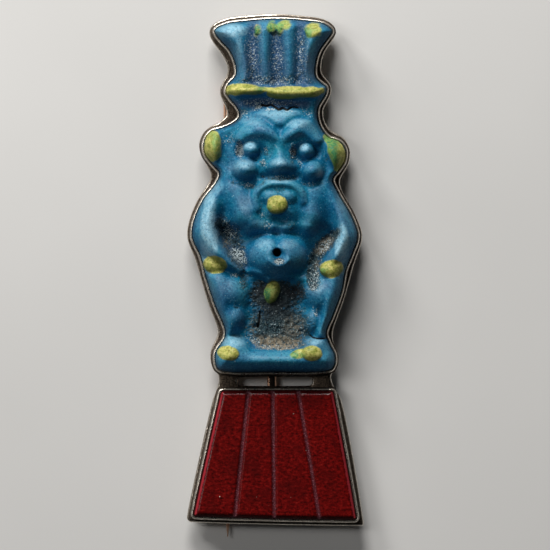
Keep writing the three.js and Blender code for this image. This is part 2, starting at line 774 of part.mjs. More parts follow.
function figureBezelGeometry() {
  const inner = offsetLoop(stoneLoop, stoneClearance);
  return bezelGeometry(inner, offsetLoop(stoneLoop, figureMargin), girdleHeight - bezelSetback);
}

function tabletBezelGeometry() {
  const inner = tabletLoop(stoneClearance, tabletCornerRadius + stoneClearance);
  const outer = tabletLoop(figureMargin, tabletCornerRadius + figureMargin);
  return bezelGeometry(inner, outer, tabletGirdle - bezelSetback);
}

// The plate's edge round the figure: every stone point keeps its own margin to it.
function figureFlangeRun() {
  const margin = (point) => figureMargin + flangeWidth * point.z;
  const first = (rightOutline.length - 1) * outlineSteps;
  const last = (rightOutline.length + baseEdge.length) * outlineSteps;
  const stone = [...fineOutline.slice(last), ...fineOutline.slice(0, first + 1)];
  const away = offsetLoop(fineOutline, margin);
  const moved = [...away.slice(last), ...away.slice(0, first + 1)];
  const slack = 0.01;
  return smoothedRun(moved.filter((point) => stone.every(
    (other) => Math.hypot(point.x - other.x, point.y - other.y) > margin(other) - slack,
  )));
}

// The run drawn again with even steps, and rounded over about the smoothing length.
function smoothedRun(run) {
  const step = 0.25;
  const lengths = [0];
  run.slice(1).forEach((point, i) => lengths.push(lengths[i] + point.distanceTo(run[i])));
  const total = lengths[lengths.length - 1];
  const count = Math.round(total / step);
  let even = Array.from({ length: count + 1 }, (_, k) => {
    const wanted = (total * k) / count;
    const i = spanAt(lengths, wanted);
    const t = (wanted - lengths[i - 1]) / (lengths[i] - lengths[i - 1]);
    return run[i - 1].clone().lerp(run[i], t);
  });
  const passes = Math.round((plateSmoothing / step) ** 2 / 2);
  for (let pass = 0; pass < passes; pass++) {
    even = even.map((point, k) => (k === 0 || k === count
      ? point
      : point.clone().multiplyScalar(2).add(even[k - 1]).add(even[k + 1]).divideScalar(4)));
  }
  return even;
}

function plateLoop() {
  const run = figureFlangeRun();
  const corners = offsetLoop(tabletCorners(), tabletMargin);
  const rounds = [plateSpurRadius, plateSpurRadius, plateSpurRadius, plateCornerRadius];
  const tablet = roundedLoop(corners, rounds);
  const waist = (side) => new THREE.Vector3(side * waistWidth / 2, -waistGap * waistShare, 0);
  const below = tablet.filter((point) => point.y < tabletTop - tabletHeight / 2);
  const outOf = new THREE.Vector3().lerpVectors(corners[1], corners[2], neckShare);
  const into = new THREE.Vector3().lerpVectors(corners[0], corners[3], neckShare);
  const neck = (from, middle, to) => new THREE.QuadraticBezierCurve3(
    from,
    middle.clone().multiplyScalar(2).sub(from.clone().add(to).multiplyScalar(0.5)),
    to,
  ).getPoints(6).slice(1, -1);
  const loop = [
    ...run,
    ...neck(run[run.length - 1], waist(1), outOf),
    outOf,
    ...below,
    into,
    ...neck(into, waist(-1), run[0]),
  ];
  const flat = loop.map(({ x, y }) => new THREE.Vector3(x, y, 0));
  return thinned(flat, outlineTolerance, plateLongest);
}

function slotLoop() {
  const middle = -waistGap / 2;
  const halfLength = slotLength / 2;
  const halfHeight = slotHeight / 2;
  const corners = [
    [-halfLength, middle + halfHeight], [halfLength, middle + halfHeight],
    [halfLength, middle - halfHeight], [-halfLength, middle - halfHeight],
  ].map(([x, y]) => new THREE.Vector3(x, y, 0));
  const radius = halfHeight * slotRounding;
  return roundedLoop(corners, [radius, radius, radius, radius]);
}

function plateGeometry() {
  const edge = plateLoop();
  return slab([
    { z: 0, loop: edge },
    { z: plateThickness - plateBevel, loop: edge },
    { z: plateThickness, loop: offsetLoop(edge, -plateBevel) },
  ], [slotLoop()]);
}

// The frame behind: a spine between two cross-bars, one loop with bevelled front edges
const hingeHalfWidth = eyeWidth / 2 + runningClearance + earThickness;
const barStart = pinShift + hingeHalfWidth + rivetHeadHeight + barClearance;

function frameGeometry() {
  const upperEnd = barStart + upperBarLength;
  const lowerEnd = barStart + lowerBarLength;
  const halfBar = barHeight / 2;
  const spineLeft = spineShift - spineWidth / 2;
  const spineRight = spineShift + spineWidth / 2;
  const upperTop = hingeHeight + halfBar;
  const upperLow = hingeHeight - halfBar;
  const lowerTop = halfBar - catchDrop;
  const lowerLow = -halfBar - catchDrop;
  const loop = [
    [barStart, upperTop], [upperEnd, upperTop], [upperEnd, upperLow], [spineRight, upperLow],
    [spineRight, lowerTop], [lowerEnd, lowerTop], [lowerEnd, lowerLow], [barStart, lowerLow],
    [barStart, lowerTop], [spineLeft, lowerTop], [spineLeft, upperLow], [barStart, upperLow],
  ].map(([x, y]) => new THREE.Vector3(x, y, 0));
  return slab([
    { z: 0, loop },
    { z: backHeight - spineBevel, loop },
    { z: backHeight, loop: offsetLoop(loop, -spineBevel) },
  ]);
}

// Pin gear, drawn round its own axis: across the pin is X, along it Y

// A bar of that section across the pin, from -width / 2 to width / 2.
function acrossPin(shape, width) {
  const geometry = new THREE.ExtrudeGeometry(shape, {
    depth: width,
    bevelEnabled: false,
    curveSegments: 8,
  });
  geometry.translate(0, 0, -width / 2);
  geometry.rotateY(Math.PI / 2);
  geometry.rotateX(Math.PI / 2);
  return geometry;
}

function barrelGeometry(diameter, width, sides = 24) {
  return new THREE.CylinderGeometry(diameter / 2, diameter / 2, width, sides).rotateZ(Math.PI / 2);
}

function stemGeometry() {
  const length = hingeHeight - (tabletBottom - tabletMargin) + stemOverhang;
  const radius = stemDiameter / 2;
  const pointRadius = stemPointDiameter / 2;
  const shoulderY = length - stemPointLength;
  const taper = stemTaper.map(([share, width]) => [radius * width, shoulderY + stemPointLength * share]);
  const profile = [
    [0, 0], [radius, 0], [radius, shoulderY], ...taper, [pointRadius, length - pointRadius], [0, length],
  ].map(([r, along]) => new THREE.Vector2(r, along));
  const shaft = new THREE.LatheGeometry(profile, stemSides).rotateX(Math.PI);
  const eye = toSolid(barrelGeometry(eyeDiameter, eyeWidth)).add(toSolid(shaft));
  const bore = barrelGeometry(rivetDiameter + 2 * runningClearance, eyeWidth + 1);
  const trim = new THREE.BoxGeometry(eyeWidth + 4, eyeDiameter, eyeDiameter * 2);
  const sides = [-1, 1].map((side) => {
    const block = trim.clone().translate(side * (eyeWidth + (eyeWidth + 4)) / 2, 0, 0);
    return toSolid(block);
  });
  return fromSolid(sides.reduce((solid, block) => solid.subtract(block), eye).subtract(toSolid(bore)));
}

function hingeGeometry() {
  const room = backHeight - pinAxisDepth;
  const earRadius = eyeDiameter / 2;
  const ear = new THREE.Shape();
  ear.moveTo(-earRadius, -room);
  ear.lineTo(-earRadius, 0);
  ear.absarc(0, 0, earRadius, Math.PI, 0, true);
  ear.lineTo(earRadius, -room);
  const whole = toSolid(acrossPin(ear, 2 * hingeHalfWidth).rotateX(Math.PI));
  const gapHeight = room - bracketThickness;
  const gapDepth = gapHeight + 2 * earRadius;
  const gap = new THREE.BoxGeometry(eyeWidth + 2 * runningClearance, 2 * eyeDiameter, gapDepth);
  gap.translate(0, 0, gapHeight - gapDepth / 2);
  const bore = barrelGeometry(rivetDiameter + 2 * runningClearance, 3 * hingeHalfWidth);
  return fromSolid(whole.subtract(toSolid(gap)).subtract(toSolid(bore)));
}

function rivetGeometry() {
  const half = hingeHalfWidth;
  const radius = rivetDiameter / 2;
  const head = rivetHeadDiameter / 2;
  const crown = rivetCrown.map(([width, rise]) => [head * width, half + rivetHeadHeight * rise]);
  const upper = [[radius, half], [head, half], ...crown, [0, half + rivetHeadHeight]];
  const lower = upper.map(([r, along]) => [r, -along]).reverse();
  const profile = [...lower, ...upper].map(([r, along]) => new THREE.Vector2(r, along));
  return new THREE.LatheGeometry(profile, rivetSides).rotateZ(-Math.PI / 2);
}

// A hook round the pin, its mouth to the side, standing on a foot against the plate.
function catchGeometry() {
  const inner = stemDiameter / 2 + runningClearance;
  const outer = inner + catchWall;
  const mouth = THREE.MathUtils.degToRad(catchMouthAngle);
  const from = Math.PI + mouth / 2;
  const to = Math.PI * 2 + Math.PI / 2;
  const hook = new THREE.Shape();
  hook.absarc(0, 0, outer, from, to, false);
  hook.absarc(0, 0, inner, to, from, true);
  const depth = { depth: catchWidth, bevelEnabled: false, curveSegments: 20 };
  const foot = new THREE.Shape();
  const room = backHeight - pinAxisDepth;
  foot.moveTo(-catchWall, inner);
  foot.lineTo(outer, inner);
  foot.lineTo(outer, room);
  foot.lineTo(-catchWall, room);
  const pieces = [hook, foot].map((shape) => {
    const geometry = new THREE.ExtrudeGeometry(shape, depth);
    geometry.rotateX(Math.PI / 2);
    geometry.translate(0, catchWidth / 2, 0);
    return toSolid(geometry);
  });
  return fromSolid(pieces[0].add(pieces[1]));
}

// The brooch

const brooch = new THREE.Group();

function piece(name, geometry, material, x, y, z) {
  const mesh = new THREE.Mesh(geometry, material);
  mesh.name = name;
  mesh.position.set(x, y, z);
  brooch.add(mesh);
}

piece('bes_figure', figureGeometry(), faience, 0, 0, plateTop);
piece('red_tablet', tabletGeometry(), redStone, 0, 0, plateTop);
piece('setting_plate', plateGeometry(), silver, 0, 0, plateBottom);
piece('figure_bezel', figureBezelGeometry(), silver, 0, 0, plateTop);
piece('tablet_bezel', tabletBezelGeometry(), silver, 0, 0, plateTop);
piece('back_frame', frameGeometry(), copper, 0, 0, 0);
piece('pin_hinge', hingeGeometry(), copper, pinShift, hingeHeight, pinAxisDepth);
piece('hinge_rivet', rivetGeometry(), copper, pinShift, hingeHeight, pinAxisDepth);
piece('pin_stem', stemGeometry(), copper, pinShift, hingeHeight, pinAxisDepth);
piece('pin_catch', catchGeometry(), copper, pinShift, -catchDrop, pinAxisDepth);

// The origin is the middle of the brooch, on the surface that it lies on.
const extent = new THREE.Box3().setFromObject(brooch);
const middle = extent.getCenter(new THREE.Vector3());
brooch.children.forEach((mesh) => {
  mesh.position.x -= middle.x;
  mesh.position.y -= middle.y;
});

export default brooch;
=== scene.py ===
"""The looks of a brooch that lies on its back: a moulded faience figure of Bes above a grooved red
stone tablet, both in a metal setting with a pin behind. Metres, +Y towards the top of the figure."""

import math

import bmesh
import bpy
import numpy as np
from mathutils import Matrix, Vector, kdtree
from mathutils.geometry import delaunay_2d_cdt


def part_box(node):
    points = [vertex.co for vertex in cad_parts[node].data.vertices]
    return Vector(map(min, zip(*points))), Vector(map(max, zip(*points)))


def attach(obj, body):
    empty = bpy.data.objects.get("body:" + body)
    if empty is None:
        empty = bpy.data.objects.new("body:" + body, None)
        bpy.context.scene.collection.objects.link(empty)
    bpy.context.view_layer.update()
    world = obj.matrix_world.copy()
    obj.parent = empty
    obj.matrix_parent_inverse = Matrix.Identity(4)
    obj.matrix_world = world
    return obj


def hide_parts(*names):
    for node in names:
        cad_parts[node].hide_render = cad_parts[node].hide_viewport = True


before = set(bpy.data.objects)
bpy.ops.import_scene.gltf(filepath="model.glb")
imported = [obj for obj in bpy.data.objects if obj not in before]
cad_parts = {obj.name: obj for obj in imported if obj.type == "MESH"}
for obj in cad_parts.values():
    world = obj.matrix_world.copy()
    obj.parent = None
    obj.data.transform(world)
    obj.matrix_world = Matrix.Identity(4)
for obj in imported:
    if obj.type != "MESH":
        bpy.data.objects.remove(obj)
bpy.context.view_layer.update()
mm = 0.001


def unit(values):
    """The values kept from 0 to 1."""
    return np.clip(values, 0, 1)


# The figure is laid out in parts of its own height, across from its middle line and up from its base.
PARTS_TALL = 352.90
PARTS_LEFT = -82.490
PARTS_LOW = -0.398
figure_low, figure_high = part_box("bes_figure")
part = (figure_high.y - figure_low.y) / PARTS_TALL
middle_x = figure_low.x - PARTS_LEFT * part
base_y = figure_low.y - PARTS_LOW * part

# Height of the figure's widest outline above its back, and the middle line of the frame's spine
GIRDLE = 2.2 * mm
SPINE_X = -0.5 * mm

# Camera: straight above, framing what the photograph frames
FRAME_PARTS = 550
CAMERA_ABOVE = 1.6
SENSOR = 36.0
FRAME_MIDDLE = (0, 97)


def add_camera():
    data = bpy.data.cameras.new("camera")
    data.sensor_width = SENSOR
    focus_z = figure_low.z + GIRDLE
    data.lens = SENSOR * CAMERA_ABOVE / (FRAME_PARTS * part)
    data.clip_start = 0.01
    data.clip_end = 20
    camera = bpy.data.objects.new("camera", data)
    camera.location = (
        middle_x + FRAME_MIDDLE[0] * part,
        base_y + FRAME_MIDDLE[1] * part,
        focus_z + CAMERA_ABOVE,
    )
    bpy.context.scene.collection.objects.link(camera)
    bpy.context.scene.camera = camera


# Lights: a low soft light beyond the crown, one off its left corner and a weak one high at the left
LIT_PLACE = Vector((0, 0.008, 0.005))
WHITE = (1.0, 0.985, 0.96)


def add_light(name, place, size, power):
    data = bpy.data.lights.new(name, "AREA")
    data.shape = "RECTANGLE"
    data.size, data.size_y = size
    data.energy = power
    data.color = WHITE
    light = bpy.data.objects.new(name, data)
    light.location = place
    light.rotation_euler = (LIT_PLACE - Vector(place)).to_track_quat("-Z", "Y").to_euler()
    bpy.context.scene.collection.objects.link(light)


def add_lights():
    add_light("top_light", (-0.05, 0.38, 0.25), (0.2, 0.12), 2.25)
    add_light("corner_light", (-0.25, 0.30, 0.25), (0.12, 0.12), 1.0)
    add_light("left_light", (-0.22, 0.08, 0.42), (0.1, 0.2), 0.5)
    world = bpy.data.worlds.new("studio")
    world.use_nodes = True
    background = world.node_tree.nodes["Background"]
    background.inputs["Color"].default_value = (0.9, 0.95, 1.0, 1)
    background.inputs["Strength"].default_value = 0.028
    bpy.context.scene.world = world
    bpy.context.scene.view_settings.view_transform = "Standard"


# Node materials

# The sockets of a mix node that mixes colours
MIX_SHARE = 0
MIX_UNDER = 6
MIX_OVER = 7
MIX_COLOUR = 2


class Recipe:
    """A material's node tree, with short ways to add nodes and link them."""

    def __init__(self, name):
        self.material = bpy.data.materials.new(name)
        self.material.use_nodes = True
        self.tree = self.material.node_tree
        self.surface = self.tree.nodes["Principled BSDF"]
        self.place = self.node("ShaderNodeTexCoord").outputs["Object"]

    def put(self, socket, value):
        """The value is a number, a colour, a node's output or the name of an attribute."""
        if isinstance(value, str):
            value = self.node("ShaderNodeAttribute", attribute_name=value).outputs["Fac"]
        if isinstance(value, bpy.types.NodeSocket):
            self.tree.links.new(value, socket)
        else:
            socket.default_value = (*value, 1) if isinstance(value, tuple) else value

    def node(self, kind, **settings):
        made = self.tree.nodes.new(kind)
        for name, value in settings.items():
            setattr(made, name, value)
        return made

    def surface_set(self, **values):
        for name, value in values.items():
            self.put(self.surface.inputs[name.replace("_", " ")], value)

    def noise(self, size, detail=2.0, roughness=0.5, stretch=(1, 1, 1), curl=0.0):
        """A noise whose patches are about that many millimetres across."""
        made = self.node("ShaderNodeTexNoise")
        made.inputs["Scale"].default_value = 1 / (size * mm)
        made.inputs["Detail"].default_value = detail
        made.inputs["Roughness"].default_value = roughness
        made.inputs["Distortion"].default_value = curl
        place = self.place
        if stretch != (1, 1, 1):
            mapping = self.node("ShaderNodeMapping")
            mapping.inputs["Scale"].default_value = stretch
            self.put(mapping.inputs["Vector"], self.place)
            place = mapping.outputs["Vector"]
        self.put(made.inputs["Vector"], place)
        return made.outputs["Fac"]

    def cells(self, size, output="Distance"):
        made = self.node("ShaderNodeTexVoronoi")
        made.inputs["Scale"].default_value = 1 / (size * mm)
        self.put(made.inputs["Vector"], self.place)
        return made.outputs[output]

    def maths(self, operation, a, b=0.0):
        made = self.node("ShaderNodeMath", operation=operation)
        self.put(made.inputs[0], a)
        self.put(made.inputs[1], b)
        return made.outputs[0]

    def times(self, a, b):
        return self.maths("MULTIPLY", a, b)

    def centred(self, value):
        """The value moved so that its middle, a half, comes to nought."""
        return self.maths("SUBTRACT", value, 0.5)

    def total(self, *terms):
        """The sum of the terms, each a value, or a value and its weight."""
        added = None
        for term in terms:
            if isinstance(term, tuple):
                term = self.times(*term)
            added = term if added is None else self.maths("ADD", added, term)
        return added

    def step(self, value, low, high, to_low=0.0, to_high=1.0):
        made = self.node("ShaderNodeMapRange", interpolation_type="SMOOTHSTEP")
        for name, number in zip(("Value", "From Min", "From Max", "To Min", "To Max"),
                                (value, low, high, to_low, to_high)):
            self.put(made.inputs[name], number)
        return made.outputs["Result"]

    def ramp(self, value, *stops):
        made = self.node("ShaderNodeValToRGB")
        points = made.color_ramp.elements
        while len(points) < len(stops):
            points.new(0.5)
        for point, (position, colour) in zip(points, stops):
            point.position = position
            point.color = (*colour, 1)
        self.put(made.inputs["Fac"], value)
        return made.outputs["Color"]

    def mix(self, share, a, b):
        """That share of colour b over colour a."""
        made = self.node("ShaderNodeMix", data_type="RGBA")
        for socket, value in ((MIX_SHARE, share), (MIX_UNDER, a), (MIX_OVER, b)):
            self.put(made.inputs[socket], value)
        return made.outputs[MIX_COLOUR]

    def bump(self, height, depth, normal=None):
        """A bump whose height of one is that many millimetres."""
        made = self.node("ShaderNodeBump")
        made.inputs["Distance"].default_value = depth * mm
        self.put(made.inputs["Height"], height)
        if normal is not None:
            self.put(made.inputs["Normal"], normal)
        return made.outputs["Normal"]


def blue_glaze(r, broad, mottle, fine, dust):
    blue = r.ramp(
        r.total((broad, 0.5), (mottle, 0.3), (fine, 0.2)),
        (0.38, (0.0015, 0.085, 0.185)),
        (0.47, (0.0025, 0.12, 0.225)),
        (0.54, (0.005, 0.15, 0.25)),
        (0.63, (0.01, 0.18, 0.262)),
    )
    # Pooled glaze and painted shade: a darker blue in hollows and in the listed spots
    blue = r.mix("pool_and_shade", blue, (0.001, 0.06, 0.15))
    # Painted shade: a deeper, darker blue on slopes that face the figure's foot, away from the light
    blue = r.mix("underside_shade", blue, (0.001, 0.105, 0.245))
    # Painted shade: the glaze darker towards the figure's edge
    blue = r.mix(r.step("rim", 0.6, 1.0, 0, 0.9), blue, (0.001, 0.045, 0.1))
    blue = r.mix("violet", blue, (0.022, 0.046, 0.11))
    # Painted highlight: a pale blue where crests and the listed spots face the light
    highlight = r.times("painted_highlight", r.step(fine, 0.3, 0.6, 0.45, 1.0))
    blue = r.mix(highlight, blue, (0.26, 0.46, 0.56))
    # Lighter blue specks, a few more of them where the painted highlight is
    specks_and_highlight = r.total(dust, ("painted_highlight", 0.05), (r.centred(mottle), 0.25))
    blue = r.mix(r.step(specks_and_highlight, 0.53, 0.68, 0, 0.5), blue, (0.05, 0.225, 0.345))
    blue = r.mix(r.step(dust, 0.46, 0.34, 0, 0.55), blue, (0.001, 0.035, 0.085))
    haze = r.times("violet", r.step(dust, 0.47, 0.62))
    return r.mix(haze, blue, (0.075, 0.12, 0.21))


def bare_grit(r, fine, grain):
    fibres = r.noise(0.36, 3, 0.6, curl=1.5)
    grit = r.ramp(
        r.total((grain, 0.5), (fibres, 0.5)),
        (0.4, (0.002, 0.005, 0.008)),
        (0.47, (0.007, 0.023, 0.034)),
        (0.53, (0.018, 0.048, 0.06)),
        (0.59, (0.05, 0.078, 0.078)),
        (0.66, (0.17, 0.185, 0.17)),
    )
    grit = r.mix(r.times("darker_grit", 0.9), grit, (0.008, 0.011, 0.014))
    earthy = r.times("earth", r.step(fine, 0.35, 0.6))
    return r.mix(earthy, grit, (0.19, 0.16, 0.115))


def yellow_glaze(r, mottle, fine, dust, edge):
    glaze = r.ramp(
        r.total((mottle, 0.4), (fine, 0.6)),
        (0.36, (0.15, 0.18, 0.03)),
        (0.46, (0.28, 0.3, 0.065)),
        (0.56, (0.44, 0.42, 0.12)),
        (0.68, (0.55, 0.49, 0.17)),
    )
    green = r.total("green", (edge, 2.2))
    lighter = r.step(r.total(mottle, r.centred(dust)), 0.4, 0.62)
    leafy = r.mix(lighter, (0.02, 0.14, 0.06), (0.17, 0.32, 0.09))
    glaze = r.mix(r.step(green, 0.3, 0.8), glaze, leafy)
    glaze = r.mix(r.step(dust, 0.54, 0.66, 0, 0.75), glaze, (0.14, 0.115, 0.02))
    # Painted shade: dark olive on the blobs' lower sides
    return r.mix(r.times("underside_shade", 0.75), glaze, (0.07, 0.1, 0.012))


def faience_material():
    r = Recipe("faience")
    broad = r.noise(5.5, 2)
    mottle = r.noise(1.1, 3)
    fine = r.noise(0.42, 3, 0.6)
    grain = r.noise(0.17, 2, 0.6)
    dust = r.noise(0.26, 2, 0.65)

    patchy = r.times(r.maths("SUBTRACT", r.total(mottle, fine), 1.0), 0.9)
    sand = r.total("sand", patchy)
    bare = r.step(r.total(sand, (r.centred(dust), 1.4)), 0.36, 1.1)
    colour = r.mix(bare, blue_glaze(r, broad, mottle, fine, dust), bare_grit(r, fine, grain))
    flecks = r.total(
        (grain, 0.6), (dust, 0.4), (r.maths("MINIMUM", sand, 0.8), 0.06),
        ("darker_grit", -0.03), ("frost", 0.12),
    )
    colour = r.mix(r.step(flecks, 0.62, 0.72), colour, (0.36, 0.43, 0.45))
    # Near-black in the dark cracks, and painted shade down the belly's hole
    dark_cracks_and_hole_shade = r.total("dark_cracks_and_hole_shade", (r.centred(grain), 0.9))
    colour = r.mix(r.step(dark_cracks_and_hole_shade, 0.38, 0.72), colour, (0.006, 0.007, 0.008))
    edge = r.times(r.centred(mottle), 0.5)
    yellow = r.step(r.total("yellow", edge), 0.34, 0.64)
    colour = r.mix(yellow, colour, yellow_glaze(r, mottle, fine, dust, edge))

    rough = r.total((fine, 0.14), (bare, 0.3), ("rim", 0.5), 0.36)
    normal = r.bump(r.total((fine, 0.5), (dust, 0.5)), 0.055)
    normal = r.bump(r.times(grain, r.total(bare, 0.08)), 0.14, normal)
    r.surface_set(Base_Color=colour, Roughness=rough, Normal=normal, Specular_IOR_Level=0.22)
    return r.material


def red_stone_material():
    r = Recipe("red_stone")
    broad = r.noise(3.2, 3)
    mottle = r.noise(0.4, 3, 0.7, stretch=(0.75, 1.2, 1))
    fine = r.noise(0.16, 2, 0.6)
    red = r.ramp(
        r.total((mottle, 0.75), (fine, 0.25)),
        (0.36, (0.02, 0.001, 0.001)),
        (0.46, (0.075, 0.0016, 0.0014)),
        (0.54, (0.115, 0.002, 0.0018)),
        (0.64, (0.175, 0.005, 0.0035)),
    )
    red = r.mix(r.step(broad, 0.45, 0.7, 0, 0.5), red, (0.04, 0.0015, 0.0015))
    # Painted shade: the bevel darker all round
    red = r.mix("bevel_shade", red, (0.018, 0.001, 0.001))
    # Painted glints: pale red lines on the bevel
    red = r.mix("painted_glint", red, (0.34, 0.025, 0.035))
    specks = r.step(r.cells(1.3), 0.075, 0.04)
    few = r.step(r.cells(1.3, "Color"), 0.8, 0.86)
    red = r.mix(r.times(specks, few), red, (0.75, 0.7, 0.6))
    dust = r.ramp(
        fine,
        (0.42, (0.03, 0.003, 0.007)),
        (0.56, (0.065, 0.01, 0.02)),
        (0.68, (0.3, 0.13, 0.17)),
    )
    colour = r.mix(r.times("matt", 0.68), red, dust)
    rough = r.total(("matt", 0.5), (mottle, 0.25), 0.1)
    normal = r.bump(r.total((fine, "matt"), mottle), 0.008)
    r.surface_set(Base_Color=colour, Roughness=rough, Normal=normal, Specular_IOR_Level=0.25)
    return r.material


def silver_material():
    r = Recipe("silver")
    blotch = r.noise(0.9, 4, 0.65)
    fine = r.noise(0.2, 3, 0.6)
    scratch = r.noise(0.25, 2, 0.5, stretch=(1, 0.12, 1))
    # Tarnish, and at the bezels' feet also painted shade
    tarnish_and_seam_shade = r.step(r.total("tarnish_and_seam_shade", (r.centred(blotch), 1.3)), 0.35, 0.75)
    metal = r.ramp(fine, (0.35, (0.5, 0.44, 0.37)), (0.65, (0.78, 0.72, 0.63)))
    brown = r.ramp(fine, (0.4, (0.02, 0.015, 0.011)), (0.62, (0.13, 0.1, 0.075)))
    colour = r.mix(tarnish_and_seam_shade, metal, brown)
    rough = r.total((tarnish_and_seam_shade, 0.3), (blotch, 0.25), 0.16)
    normal = r.bump(r.total(scratch, blotch), 0.012)
    r.surface_set(Base_Color=colour, Roughness=rough, Metallic=1.0, Normal=normal)
    return r.material


def copper_material():
    """Copper, with painted shade on the spine's face where it shows through the plate's slot."""
    r = Recipe("copper_gold")
    blotch = r.noise(1.4, 3, 0.6)
    scratch = r.noise(0.2, 2, 0.5, stretch=(1, 0.08, 1))
    colour = r.ramp(
        blotch,
        (0.35, (0.42, 0.2, 0.11)),
        (0.5, (0.78, 0.45, 0.29)),
        (0.66, (0.87, 0.56, 0.4)),
    )
    place = r.node("ShaderNodeSeparateXYZ")
    r.put(place.inputs["Vector"], r.place)
    face_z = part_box("back_frame")[1].z
    sideways = r.maths("ABSOLUTE", r.maths("SUBTRACT", place.outputs["X"], SPINE_X))
    face = r.step(place.outputs["Z"], face_z - 0.05 * mm, face_z - 0.02 * mm)
    # Painted shade: the spine's face near-black between its eased edges
    slot_shade = r.times(face, r.step(sideways, 0.5 * mm, 0.38 * mm))
    colour = r.mix(slot_shade, colour, (0.02, 0.015, 0.012))
    rough = r.total((blotch, 0.35), 0.12)
    r.surface_set(Base_Color=colour, Roughness=rough, Metallic=1.0, Normal=r.bump(scratch, 0.006))
    return r.material


def floor_material():
    r = Recipe("pale_floor")
    tone = r.ramp(r.noise(60, 3), (0.3, (0.55, 0.545, 0.535)), (0.7, (0.59, 0.585, 0.575)))
    r.surface_set(Base_Color=tone, Roughness=0.9)
    return r.material


# Outlines

# Points no further apart than this count as one
SAME_PLACE = 1e-7

# A point moved off a loop, and one in a ring of a sheet, is kept where it ends up at least that
# share of the way from the loop. A sheet's grid stays that share of a step off its last ring.
MOVED_SHARE = 0.97
RING_SHARE = 0.985
GRID_GAP = 0.6


def underside_loops(node):
    """The outlines of a node's flat underside, the longest first, with the node on their left."""
    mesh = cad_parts[node].data
    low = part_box(node)[0].z
    follows = {}
    for face in mesh.polygons:
        corners = [mesh.vertices[i].co for i in face.vertices]
        if max(corner.z for corner in corners) - low > SAME_PLACE:
            continue
        ring = [(round(corner.x, 8), round(corner.y, 8)) for corner in corners]
        for a, b in zip(ring, ring[1:] + ring[:1]):
            if a in follows.get(b, ()):
                follows[b].discard(a)
            else:
                follows.setdefault(a, set()).add(b)
    loops = []
    starts = {a: b for a, after in follows.items() for b in after}
    while starts:
        point, after = starts.popitem()
        loop = [point]
        while after in starts:
            loop.append(after)
            after = starts.pop(after)
        loops.append(np.array(loop))
    loops.sort(key=lambda loop: -perimeter(loop))
    return [loop if (area(loop) > 0) == (i == 0) else loop[::-1] for i, loop in enumerate(loops)]


def perimeter(loop):
    return np.linalg.norm(np.roll(loop, -1, 0) - loop, axis=1).sum()


def area(loop):
    after = np.roll(loop, -1, 0)
    return 0.5 * (loop[:, 0] * after[:, 1] - loop[:, 1] * after[:, 0]).sum()


def smooth_line(points, steps=5, closed=False):
    """A centripetal curve through the points. Columns after the second are carried along."""
    points = np.asarray(points, float)
    count = len(points)
    if not closed:
        first = 2 * points[:1] - points[1:2]
        last = 2 * points[-1:] - points[-2:-1]
        points = np.vstack([first, points, last])
    spans = range(count) if closed else range(1, count)
    drawn = []
    for i in spans:
        p = [points[(i + k) % len(points)] for k in (-1, 0, 1, 2)]
        knots = [0.0]
        for a, b in zip(p, p[1:]):
            knots.append(knots[-1] + max(np.linalg.norm(b[:2] - a[:2]), 1e-9) ** 0.5)
        t = np.linspace(knots[1], knots[2], steps, endpoint=False)[:, None]

        def between(a, b, ta, tb):
            return ((tb - t) * a + (t - ta) * b) / (tb - ta)

        a = [between(p[k], p[k + 1], knots[k], knots[k + 1]) for k in range(3)]
        b = [between(a[k], a[k + 1], knots[k], knots[k + 2]) for k in range(2)]
        drawn.append(between(b[0], b[1], knots[1], knots[2]))
    if not closed:
        drawn.append(points[-2:-1])
    return np.concatenate(drawn)


def even_loop(loop, spacing):
    """A closed curve through the loop's points, cut into even steps."""
    curve = smooth_line(loop, steps=8, closed=True)
    ring = np.vstack([curve, curve[:1]])
    lengths = np.concatenate([[0], np.cumsum(np.linalg.norm(np.diff(ring, axis=0), axis=1))])
    wanted = np.linspace(0, lengths[-1], int(round(lengths[-1] / spacing)), endpoint=False)
    return np.column_stack([np.interp(wanted, lengths, ring[:, k]) for k in (0, 1)])


def outline_of(node, spacing, which=0):
    return even_loop(underside_loops(node)[which], spacing)


def tree_of(points):
    tree = kdtree.KDTree(len(points))
    for i, (x, y) in enumerate(points):
        tree.insert((x, y, 0), i)
    tree.balance()
    return tree


def distances(tree, points):
    return np.array([tree.find((x, y, 0))[2] for x, y in points])


def moved_out(loop, distance, tree=None):
    """The loop moved to its right, with as many points. Where it would cross itself, it is drawn
    straight across."""
    along = np.roll(loop, -1, 0) - np.roll(loop, 1, 0)
    normal = np.column_stack([along[:, 1], -along[:, 0]])
    normal /= np.linalg.norm(normal, axis=1)[:, None]
    moved = loop + normal * distance
    clear = distances(tree or tree_of(loop), moved) > abs(distance) * MOVED_SHARE - 1e-9
    if clear.all() or not clear.any():
        return moved
    index = np.arange(len(loop))
    good = index[clear]
    around = np.concatenate([good - len(loop), good, good + len(loop)])
    return np.column_stack([
        np.interp(index, around, np.tile(moved[good, k], 3)) for k in (0, 1)
    ])


def inside(points, loop):
    """Which of the points lie inside the loop."""
    after = np.roll(loop, -1, 0)
    found = np.zeros(len(points), bool)
    order = np.argsort(points[:, 1], kind="stable")
    rows, starts = np.unique(points[order, 1], return_index=True)
    for y, chosen in zip(rows, np.split(order, starts[1:])):
        crossing = (loop[:, 1] <= y) != (after[:, 1] <= y)
        a, b = loop[crossing], after[crossing]
        cuts = np.sort(a[:, 0] + (y - a[:, 1]) / (b[:, 1] - a[:, 1]) * (b[:, 0] - a[:, 0]))
        found[chosen] = np.searchsorted(cuts, points[chosen, 0]) % 2 == 1
    return found


def enclosed(points, loops):
    """Which of the points lie inside the first loop and outside the others."""
    kept = inside(points, loops[0])
    for hole in loops[1:]:
        kept &= ~inside(points, hole)
    return kept


# Closed meshes

